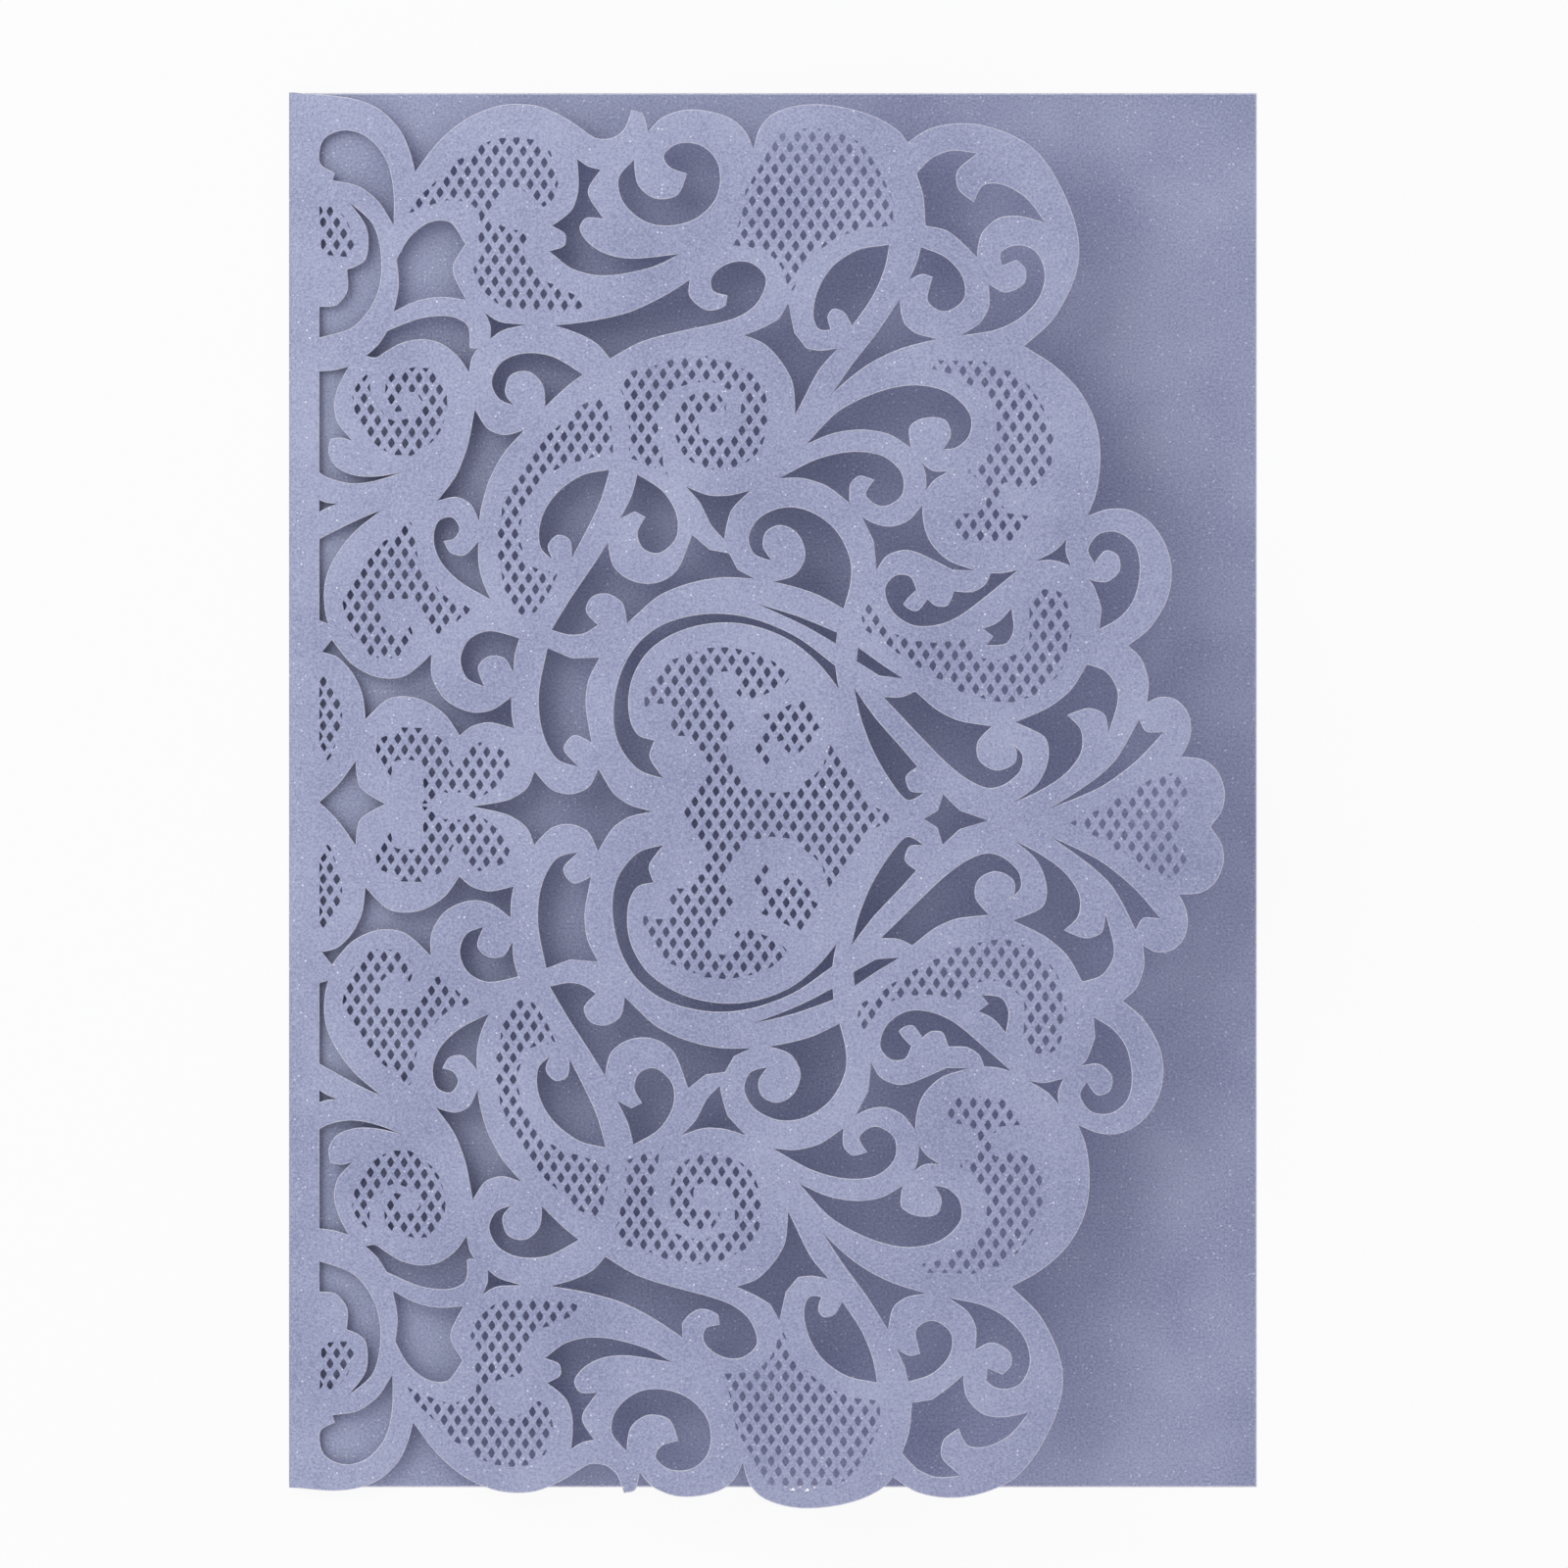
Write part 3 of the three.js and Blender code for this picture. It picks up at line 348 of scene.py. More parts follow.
HEART_STEM: Outline = [
    (51.9, 0), (52.5, 1), (53.4, 2), (54.2, 3.3), (54.9, 4.2), (55.1, 5.2), (55.8, 6.3), (55, 7),
    (54.8, 8), (54.1, 8.3), (53.8, 9), (53.2, 9.4), (52.5, 10), (51.3, 10), (51.1, 10.6),
    (50.4, 11), (50.4, 12.1), (50.9, 12.9), (51, 13.8), (50.2, 13.8), (49.3, 14.1), (48.3, 14.1),
    (47.3, 13.7), (46.9, 13.7), (46.9, 15.1), (47.5, 16.2), (48.3, 17.7), (49.3, 19),
    (50.3, 19.9), (51.3, 20.2), (52.3, 21), (54.2, 21.1), (55.1, 21.6), (58.2, 21.8),
    (59.8, 21.4), (61.7, 21.1), (63, 20.5), (63.9, 20), (65, 19), (65.9, 17.9), (65.4, 17.2),
    (64.2, 16.8), (63.3, 16), (62, 15.5), (60.5, 15), (59.3, 15.4), (58.9, 15.9), (59.5, 16.6),
    (59.6, 17.6), (59, 18.2), (57.7, 18.6), (56.8, 18.5), (56.2, 18.1), (55.7, 17.4),
    (55.9, 16.5), (55.9, 15.6), (56.3, 15), (56.7, 14.2), (57.7, 13.5), (58.2, 12.9),
    (58.8, 12.9), (59.3, 12.4), (58.9, 11.7), (58.2, 10.9), (57.8, 10), (57.9, 8.7), (57.9, 7.5),
    (57.7, 6.8), (58.5, 6.4), (58.6, 5.5), (59.4, 4.9), (60, 4), (60.5, 3.5), (61.2, 3.3),
    (62.5, 3.2), (63.4, 2.9), (64.9, 2.9), (66.1, 3.1), (67.4, 3.8), (68.2, 4.6), (69.1, 5.2),
    (69.7, 5.8), (70.4, 6.6), (70.6, 7.4), (71, 8.3), (71.3, 9.4), (71.9, 8.6), (72.6, 7.6),
    (73.3, 6.8), (74.2, 5.4), (75.1, 4), (76.1, 2.6), (77, 1.5), (78, 1), (79.2, 0.4), (79.4, 0),
]
HEART_LOBE: Outline = [
    (62.4, 13), (63.4, 13.4), (64.3, 13.9), (65.6, 14.3), (66.9, 15), (67.8, 15), (68.1, 14.2),
    (68.9, 13.3), (69.4, 12.5), (69.9, 11.6), (69.1, 11), (68.8, 9.9), (67.9, 8.9), (67.1, 8),
    (66.3, 7.6), (65.9, 8.1), (65.3, 8.7), (65.1, 9.8), (64.5, 9.6), (63.3, 9.6), (62.9, 8.9),
    (63.3, 7.6), (63.6, 6.6), (64.2, 6), (63.5, 5.9), (62.9, 6.6), (62.2, 7.6), (61.5, 8.5),
    (61.6, 9.2), (62.4, 9.8), (62.6, 10.8), (63.1, 11.4), (63.1, 12.2),
]
EDGE_SCROLL: Outline = [
    (75.9, 28.2), (76.4, 27.5), (77.3, 26.3), (78.2, 25), (79, 24.2), (80.3, 23.9), (81, 23.5),
    (82, 23.25), (83.5, 23.2), (84.6, 23.1), (86, 23.2), (87, 23.4), (87.7, 23.9), (88.3, 23.95),
    (88.7, 23.2), (89.4, 22.6), (90.2, 21.3), (91.8, 21.2), (93.3, 21), (94.1, 21.2),
    (94.7, 21.6), (95.7, 22.1), (96.3, 22.8), (97, 23.6), (97.1, 25.2), (97, 27), (97, 28.2),
    (97.3, 29.9), (98.4, 30.4), (99.5, 30.5), (100.6, 30.3), (101.2, 29.9), (101.9, 28.7),
    (102.3, 27.4), (102.1, 26.5), (102.5, 25.8), (102.5, 24.4), (102, 23), (102.1, 21.9),
    (101.7, 21), (101.3, 20), (100.8, 19.2), (100.1, 18.5), (99.5, 17.7), (98.6, 17.2),
    (97.9, 16.6), (97, 16.2), (96, 16), (95, 15.6), (93, 15.6), (91.7, 15.9), (90.2, 16.2),
    (89, 16.5), (87.9, 16.9), (86.9, 17.4), (85.9, 18.2), (84.7, 18.6), (83.7, 19.3),
    (82.7, 19.8), (81.7, 20.6), (80.9, 21.2), (79.9, 21.6), (79, 22.4), (77.9, 23.2),
    (76.9, 23.7), (75.7, 24.5), (75.2, 26), (75.5, 27.2),
]
FAN_TIP: Outline = [
    (102.6, 0), (103.4, 0.4), (104.6, 0.95), (105.8, 1.6), (107.3, 2.3), (108.6, 3.3),
    (110.2, 3.9), (111.3, 5.1), (112.6, 5.7), (114, 6.6), (116, 6.9), (117.2, 6.6), (118.1, 5.9),
    (118.1, 5), (117.7, 4), (116.9, 3.2), (116.3, 2.4), (116.2, 1), (116.9, 0.5), (116.9, 0),
]

FIELDS: list[tuple[Outline, FieldSide]] = [
    (CORNER_LEAF, FieldSide.BOTH_HALVES),
    (TOP_SCROLL, FieldSide.BOTH_HALVES),
    (FAR_SCROLL, FieldSide.BOTH_HALVES),
    (FOLD_SWIRL, FieldSide.BOTH_HALVES),
    (FOLD_FLOWER, FieldSide.BOTH_HALVES),
    (LONG_BOW, FieldSide.BOTH_HALVES),
    (SPIRAL, FieldSide.BOTH_HALVES),
    (HOOK_BAND, FieldSide.BOTH_HALVES),
    (FOLD_SHELL, FieldSide.BOTH_HALVES),
    (INNER_LEAF, FieldSide.BOTH_HALVES),
    (HEART_STEM, FieldSide.ACROSS_AXIS),
    (HEART_LOBE, FieldSide.BOTH_HALVES),
    (EDGE_SCROLL, FieldSide.BOTH_HALVES),
    (FAN_TIP, FieldSide.ACROSS_AXIS),
]


def is_inside(point: Point, outline: Outline) -> bool:
    """Says whether a point lies inside a closed outline.

    Args:
        point: the point.
        outline: the outline, in either direction.

    Returns:
        True where it lies inside.
    """
    inside = False
    x, y = point
    for (ax, ay), (bx, by) in zip(outline, outline[1:] + outline[:1]):
        crosses = (ay > y) != (by > y)
        if crosses and x < (bx - ax) * (y - ay) / (by - ay) + ax:
            inside = not inside
    return inside


def below(outline: Outline) -> Outline:
    """Gives the same outline on the other side of the axis."""
    return [(along, -across) for along, across in outline]


def signed_area(outline: Outline) -> float:
    """Gives the area of an outline, above zero where it runs anticlockwise.

    Args:
        outline: the closed outline.

    Returns:
        The area in the outline's own units.
    """
    pairs = zip(outline, outline[1:] + outline[:1])
    return sum(ax * by - bx * ay for (ax, ay), (bx, by) in pairs) / 2


@dataclass
class Hole:
    """One cut-out of the flap, with its box for a quick test."""

    outline: Outline
    low: Point = field(init=False)
    high: Point = field(init=False)

    def __post_init__(self) -> None:
        """Keeps the corners of the outline's box."""
        along, across = zip(*self.outline)
        self.low = (min(along), min(across))
        self.high = (max(along), max(across))

    def holds(self, point: Vector) -> bool:
        """Says whether a point of the flat drawing lies in the hole.

        Args:
            point: the point.

        Returns:
            True where it lies in the hole.
        """
        in_width = self.low[0] < point.x < self.high[0]
        in_height = self.low[1] < point.y < self.high[1]
        return in_width and in_height and is_inside((point.x, point.y), self.outline)


@dataclass
class SmoothOutline:
    """Redraws a closed line of short chords as the smooth curve with corners that it stands for.

    A turn is a corner where it is sharper than corner_angle, or where a round bend would rise by more
    than chord_rise_mm above its chord. The new chords rise by finest_mm at most.
    """

    points: list[Vector]
    corner_angle: float = math.radians(68)
    chord_rise_mm: float = 0.14
    finest_mm: float = 0.012
    least_step: float = 1e-4

    def is_corner(self, index: int) -> bool:
        """Says whether the line has a real corner at a point, and not one chord of a round bend.

        Args:
            index: number of the point.

        Returns:
            True at a corner.
        """
        before, here = self.points[index - 1], self.points[index]
        after = self.points[(index + 1) % len(self.points)]
        arriving, leaving = here - before, after - here
        turn = arriving.angle(leaving, 0.0)
        shorter = min(arriving.length, leaving.length)
        return turn > self.corner_angle or shorter / 2 * math.tan(turn / 4) > self.chord_rise_mm

    def curve_point(self, knots: list[Vector], piece: int, share: float) -> Vector:
        """Gives a point of the centripetal curve through the knots.

        Args:
            knots: the points that the curve passes, with its corners at both ends.
            piece: which stretch between two knots.
            share: how far along that stretch, from 0 to 1.

        Returns:
            The point in the flat drawing.
        """
        here, there = knots[piece], knots[piece + 1]
        before = knots[piece - 1] if piece > 0 else here * 2 - there
        after = knots[piece + 2] if piece + 2 < len(knots) else there * 2 - here
        first = max((here - before).length ** 0.5, self.least_step)
        middle = max((there - here).length ** 0.5, self.least_step)
        last = max((after - there).length ** 0.5, self.least_step)
        leaving = (here - before) / first - (there - before) / (first + middle) + (there - here) / middle
        arriving = (there - here) / middle - (after - here) / (middle + last) + (after - there) / last
        square, cube = share * share, share * share * share
        return (
            here * (2 * cube - 3 * square + 1) + leaving * middle * (cube - 2 * square + share)
            + there * (3 * square - 2 * cube) + arriving * middle * (cube - square)
        )

    def stretch(self, knots: list[Vector], pieces: range) -> list[Vector]:
        """Gives the points of one smooth stretch.

        Args:
            knots: the points that the curve passes.
            pieces: which pieces between two knots are wanted.

        Returns:
            The points of those pieces, each without its last one. A flatter piece has fewer.
        """
        line: list[Vector] = []
        for piece in pieces:
            chord_middle = (knots[piece] + knots[piece + 1]) / 2
            rise = (self.curve_point(knots, piece, 0.5) - chord_middle).length
            cuts = max(1, math.ceil(math.sqrt(rise / self.finest_mm)))
            line.extend(self.curve_point(knots, piece, cut / cuts) for cut in range(cuts))
        return line

    def drawn(self) -> Outline:
        """Gives the smooth outline as points.

        Returns:
            The outline, closed from its last point to its first.
        """
        count = len(self.points)
        corners = [i for i in range(count) if self.is_corner(i)]
        line: list[Vector] = []
        if not corners:
            knots = [self.points[i % count] for i in range(-1, count + 2)]
            line.extend(self.stretch(knots, range(1, count + 1)))
        for place, corner in enumerate(corners):
            following = corners[(place + 1) % len(corners)]
            length = (following - corner) % count or count
            knots = [self.points[(corner + i) % count] for i in range(length + 1)]
            line.extend(self.stretch(knots, range(length)))
        return [(point.x, point.y) for point in line]


@dataclass(frozen=True)
class CardStock:
    """Pearlescent card: dyed board with a mica coating, calendered smooth.

    The coating gives a soft satin gloss, a fine grain and scattered mica flecks. The flecks are the real
    mica, and their almost white colour is a painted glint: their sparkle is painted into the base
    colour.
    Real mica is finer than the flecks here, which are as coarse as they need to be to show.
    """

    name: str = "pearlescent_card"
    dye: str = "AEB4D0"
    deep_dye: str = "8288AB"
    # Painted glint: the near-white colour that the mica flecks are mixed towards, in place of their
    # sparkle.
    mica_glint: str = "EDEFF9"
    grain_mm: float = 0.30
    grain_detail: float = 3.0
    grain_roughness: float = 0.65
    mottle_mm: float = 14.0
    mottle_detail: float = 2.0
    mottle_share: float = 0.25
    tone_range: tuple[float, float] = (0.36, 0.62)
    # Where the painted mica glints fall: the cells' spacing, the flecks' size and the share of cells
    # that glint.
    mica_glint_spacing_mm: float = 0.52
    mica_glint_radius_mm: float = 0.13
    mica_glint_share: float = 0.5
    relief_mm: float = 0.03
    relief_strength: float = 0.25
    roughness: float = 0.48
    mica_metallic: float = 0.08
    coating_ior: float = 1.5
    gloss_coat: float = 0.08
    gloss_roughness: float = 0.35

    def material(self) -> bpy.types.Material:
        """Builds the card's material on Object coordinates.

        Returns:
            The finished material.
        """
        made = bpy.data.materials.new(self.name)
        made.use_nodes = True
        tree = made.node_tree
        tree.nodes.clear()
        place = add_node(tree, "ShaderNodeTexCoord").outputs["Object"]
        grain_settings = {
            "Scale": 1 / (self.grain_mm * MM),
            "Detail": self.grain_detail,
            "Roughness": self.grain_roughness,
        }
        mottle_settings = {"Scale": 1 / (self.mottle_mm * MM), "Detail": self.mottle_detail}
        grain = add_node(tree, "ShaderNodeTexNoise", grain_settings, Vector=place)
        mottle = add_node(tree, "ShaderNodeTexNoise", mottle_settings, Vector=place)
        tone = add_node(
            tree, "ShaderNodeMix", {"data_type": "FLOAT"},
            input_2=grain.outputs["Fac"], input_3=mottle.outputs["Fac"],
        )
        tone.inputs[0].default_value = self.mottle_share
        ramp = add_node(tree, "ShaderNodeValToRGB", None, Fac=tone.outputs[0])
        set_ramp(ramp, self.tone_range, (self.deep_dye, self.dye))
        # Painted glint: mica flecks picked from Voronoi cells, each with a random strength.
        cells = add_node(
            tree, "ShaderNodeTexVoronoi", {"Scale": 1 / (self.mica_glint_spacing_mm * MM)}, Vector=place,
        )
        chance = add_node(tree, "ShaderNodeSeparateColor", None, Color=cells.outputs["Color"])
        wide = add_node(
            tree, "ShaderNodeMath", {"operation": "MULTIPLY"}, input_0=chance.outputs["Green"],
        )
        wide.inputs[1].default_value = self.mica_glint_radius_mm / self.mica_glint_spacing_mm
        near = add_node(
            tree, "ShaderNodeMath", {"operation": "LESS_THAN"},
            input_0=cells.outputs["Distance"], input_1=wide.outputs[0],
        )
        chosen = add_node(
            tree, "ShaderNodeMath", {"operation": "LESS_THAN"}, input_0=chance.outputs["Red"],
        )
        chosen.inputs[1].default_value = self.mica_glint_share
        glint_spots = add_node(
            tree, "ShaderNodeMath", {"operation": "MULTIPLY"},
            input_0=near.outputs[0], input_1=chosen.outputs[0],
        )
        glint_strength = add_node(
            tree, "ShaderNodeMath", {"operation": "MULTIPLY"},
            input_0=glint_spots.outputs[0], input_1=chance.outputs["Blue"],
        )
        # The base colour with the painted mica glints mixed in towards near-white.
        colour = add_node(
            tree, "ShaderNodeMix", {"data_type": "RGBA"},
            input_0=glint_strength.outputs[0], input_6=ramp.outputs["Color"],
        )
        colour.inputs[7].default_value = linear(self.mica_glint)
        relief_settings = {"Strength": self.relief_strength, "Distance": self.relief_mm * MM}
        bump = add_node(tree, "ShaderNodeBump", relief_settings, Height=grain.outputs["Fac"])
        satin = {
            "Roughness": self.roughness,
            "Metallic": self.mica_metallic,
            "IOR": self.coating_ior,
            "Coat Weight": self.gloss_coat,
            "Coat Roughness": self.gloss_roughness,
        }
        shader = add_node(
            tree, "ShaderNodeBsdfPrincipled", satin,
            Base_Color=colour.outputs[2], Normal=bump.outputs["Normal"],
        )
        add_node(tree, "ShaderNodeOutputMaterial", None, Surface=shader.outputs["BSDF"])
        return made


@dataclass(frozen=True)
class CutEdge:
    """The laser-cut wall of the card: bare fibres of the core, paler than the coated faces.

    It gives each cut a thin, matt, almost white line.
    """

    name: str = "cut_card_edge"
    core: str = "E2E4EE"
    shade: str = "C6C9DA"
    fibre_mm: float = 0.3
    fibre_detail: float = 2.0
    fibre_range: tuple[float, float] = (0.35, 0.65)
    roughness: float = 0.8

    def material(self) -> bpy.types.Material:
        """Builds the material of the cut walls.

        Returns:
            The finished material.
        """
        made = bpy.data.materials.new(self.name)
        made.use_nodes = True
        tree = made.node_tree
        tree.nodes.clear()
        place = add_node(tree, "ShaderNodeTexCoord").outputs["Object"]
        fibre_settings = {"Scale": 1 / (self.fibre_mm * MM), "Detail": self.fibre_detail}
        fibre = add_node(tree, "ShaderNodeTexNoise", fibre_settings, Vector=place)
        ramp = add_node(tree, "ShaderNodeValToRGB", None, Fac=fibre.outputs["Fac"])
        set_ramp(ramp, self.fibre_range, (self.shade, self.core))
        shader = add_node(
            tree, "ShaderNodeBsdfPrincipled", {"Roughness": self.roughness},
            Base_Color=ramp.outputs["Color"],
        )
        add_node(tree, "ShaderNodeOutputMaterial", None, Surface=shader.outputs["BSDF"])
        return made


def mesh_object(name: str, made: bmesh.types.BMesh) -> bpy.types.Object:
    """Turns a bmesh into an object of the scene, and frees it.

    Args:
        name: name of the object and of its mesh.
        made: the finished bmesh.

    Returns:
        The new object.
    """
    mesh = bpy.data.meshes.new(name)
    made.to_mesh(mesh)
    made.free()
    piece = bpy.data.objects.new(name, mesh)
    bpy.context.scene.collection.objects.link(piece)
    return piece


def prism(made: bmesh.types.BMesh, outline: Outline, low: float, high: float) -> None:
    """Adds a closed prism over a flat outline.

    Args:
        made: the bmesh that it goes into.
        outline: the flat outline, in either direction.
        low: height of its lower face.
        high: height of its upper face.
    """
    line = outline if signed_area(outline) > 0 else outline[::-1]
    bottom = [made.verts.new((x, y, low)) for x, y in line]
    top = [made.verts.new((x, y, high)) for x, y in line]
    made.faces.new(bottom[::-1])
    made.faces.new(top)
    for i, corner in enumerate(bottom):
        after = (i + 1) % len(bottom)
        made.faces.new((corner, bottom[after], top[after], top[i]))


@dataclass
class LatticeCut:
    """The perforated fields: a node tree that cuts every small diamond out of the flap."""

    placing: PatternPlacing
    rule: LatticeRule = field(default_factory=LatticeRule)
    cutter_corners: int = 8
    side_bow: float = 1.667
    cutter_depth_mm: float = 1.0
    field_depth_mm: float = 2.0
    wall_steepness: float = 0.95

    def drawn_fields(self) -> list[Outline]:
        """Gives the drawn outlines of the fields on both sides of the axis.

        Returns:
            One closed outline for each field.
        """
        found: list[Outline] = []
        for outline, side in FIELDS:
            if side is FieldSide.ACROSS_AXIS:
                found.append(outline + below(outline)[-2:0:-1])
            else:
                found.extend([outline, below(outline)])
        return found

    def fields(self) -> bpy.types.Object:
        """Makes one tall prism over each field.

        Returns:
            One object with all prisms, in the flat drawing.
        """
        made = bmesh.new()
        for outline in self.drawn_fields():
            flat = [self.placing.on_flap(point) for point in outline]
            prism(made, flat, -self.field_depth_mm, self.field_depth_mm)
        return mesh_object("lattice_fields", made)

    def centres(self) -> bpy.types.Object:
        """Makes a vertex at the centre of each diamond that reaches into a field.

        Returns:
            One object with all centres, in the flat drawing.
        """
        outlines = self.drawn_fields()
        made = bmesh.new()
        first, last = self.rule.columns
        for row in range(-self.rule.rows, self.rule.rows + 1):
            shift = 0.5 * (row % 2)
            for column in range(first, last):
                along, across = self.rule.place(column + shift, abs(row))
                centre = (along, across if row >= 0 else -across)
                spots = [centre, *self.rule.tips(centre)]
                if any(is_inside(spot, outline) for outline in outlines for spot in spots):
                    made.verts.new((*self.placing.on_flap(centre), 0))
        return mesh_object("lattice_centres", made)

    def cutter(self) -> bpy.types.Object:
        """Makes the prism that one diamond is cut with, its sides a little bowed out.

        Returns:
            The cutter, centred on the origin.
        """
        half_width, half_height = self.rule.hole_width_mm / 2, self.rule.hole_height_mm / 2
        outline = []
        for corner in range(self.cutter_corners):
            turn = 2 * math.pi * corner / self.cutter_corners
            ray = (math.cos(turn), math.sin(turn))
            x, y = (math.copysign(abs(part) ** self.side_bow, part) for part in ray)
            outline.append((half_width * x, half_height * y))
        made = bmesh.new()
        prism(made, outline, -self.cutter_depth_mm, self.cutter_depth_mm)
        return mesh_object("lattice_cutter", made)

    def tree(self, face: bpy.types.Material, wall: bpy.types.Material) -> bpy.types.NodeTree:
        """Builds the node tree that perforates a flat plate.

        Args:
            face: material of the plate's two faces.
            wall: material of every cut wall.

        Returns:
            The tree, whose inputs are the plate, fields, centres, cutter and the rows' slope.
        """
        tree = bpy.data.node_groups.new("perforated_fields", "GeometryNodeTree")
        interface = tree.interface
        interface.new_socket("Plate", in_out="INPUT", socket_type="NodeSocketGeometry")
        for name in ("Fields", "Centres", "Cutter"):
            interface.new_socket(name, in_out="INPUT", socket_type="NodeSocketObject")
        for name in ("Row Slope", "Hole Size"):
            interface.new_socket(name, in_out="INPUT", socket_type="NodeSocketFloat")
        interface.new_socket("Card", in_out="OUTPUT", socket_type="NodeSocketGeometry")
        given = add_node(tree, "NodeGroupInput").outputs
        shapes = {
            name: add_node(tree, "GeometryNodeObjectInfo", None, Object=given[name]).outputs["Geometry"]
            for name in ("Fields", "Centres", "Cutter")
        }
        turn = add_node(tree, "ShaderNodeCombineXYZ", None, Z=given["Row Slope"])
        size = add_node(
            tree, "ShaderNodeCombineXYZ", {"Z": 1.0}, X=given["Hole Size"], Y=given["Hole Size"],
        )
        placed = add_node(
            tree, "GeometryNodeInstanceOnPoints", None,
            Points=shapes["Centres"], Instance=shapes["Cutter"],
            Rotation=turn.outputs[0], Scale=size.outputs[0],
        )
        real = add_node(tree, "GeometryNodeRealizeInstances", None, Geometry=placed.outputs["Instances"])
        clipped = add_node(
            tree, "GeometryNodeMeshBoolean", {"operation": "INTERSECT", "solver": "MANIFOLD"},
            input_1=real.outputs["Geometry"],
        )
        tree.links.new(shapes["Fields"], clipped.inputs[1])
        cut = add_node(
            tree, "GeometryNodeMeshBoolean", {"operation": "DIFFERENCE", "solver": "MANIFOLD"},
            input_0=given["Plate"], input_1=clipped.outputs["Mesh"],
        )
        upright = add_node(
            tree, "ShaderNodeSeparateXYZ", None,
            Vector=add_node(tree, "GeometryNodeInputNormal").outputs["Normal"],
        )
        level = add_node(tree, "ShaderNodeMath", {"operation": "ABSOLUTE"}, input_0=upright.outputs["Z"])
        is_wall = add_node(tree, "ShaderNodeMath", {"operation": "LESS_THAN"}, input_0=level.outputs[0])
        is_wall.inputs[1].default_value = self.wall_steepness
        faces = add_node(
            tree, "GeometryNodeSetMaterial", {"Material": face}, Geometry=cut.outputs["Mesh"],
        )
        walls = add_node(
            tree, "GeometryNodeSetMaterial", {"Material": wall},
            Geometry=faces.outputs["Geometry"], Selection=is_wall.outputs[0],
        )
        done = add_node(tree, "GeometryNodeRealizeInstances", None, Geometry=walls.outputs["Geometry"])
        add_node(tree, "NodeGroupOutput", None, Card=done.outputs["Geometry"])
        return tree

    def cut(
        self, plate: bpy.types.Object, face: bpy.types.Material, wall: bpy.types.Material,
    ) -> bpy.types.Mesh:
        """Perforates a flat plate.

        Args:
            plate: the closed flat plate, in millimetres.
            face: material of its faces.
            wall: material of its cut walls.

        Returns:
            The perforated plate as a plain mesh. The plate and all helpers are removed.
        """
        helpers = {"Fields": self.fields(), "Centres": self.centres(), "Cutter": self.cutter()}
        LOG.info("%d diamonds reach into the fields", len(helpers["Centres"].data.vertices))
        tree = self.tree(face, wall)
        modifier = plate.modifiers.new("perforations", "NODES")
        modifier.node_group = tree
        values = {"Row Slope": -math.atan(self.placing.slope), "Hole Size": 1.0, **helpers}
        for item in tree.interface.items_tree:
            if item.name in values:
                modifier[item.identifier] = values[item.name]
        for helper in helpers.values():
            helper.hide_render = True
        bpy.context.view_layer.update()
        evaluated = plate.evaluated_get(bpy.context.evaluated_depsgraph_get())
        mesh = bpy.data.meshes.new_from_object(evaluated)
        plate.modifiers.remove(modifier)
        for helper in [*helpers.values(), plate]:
            bpy.data.objects.remove(helper)
        return mesh


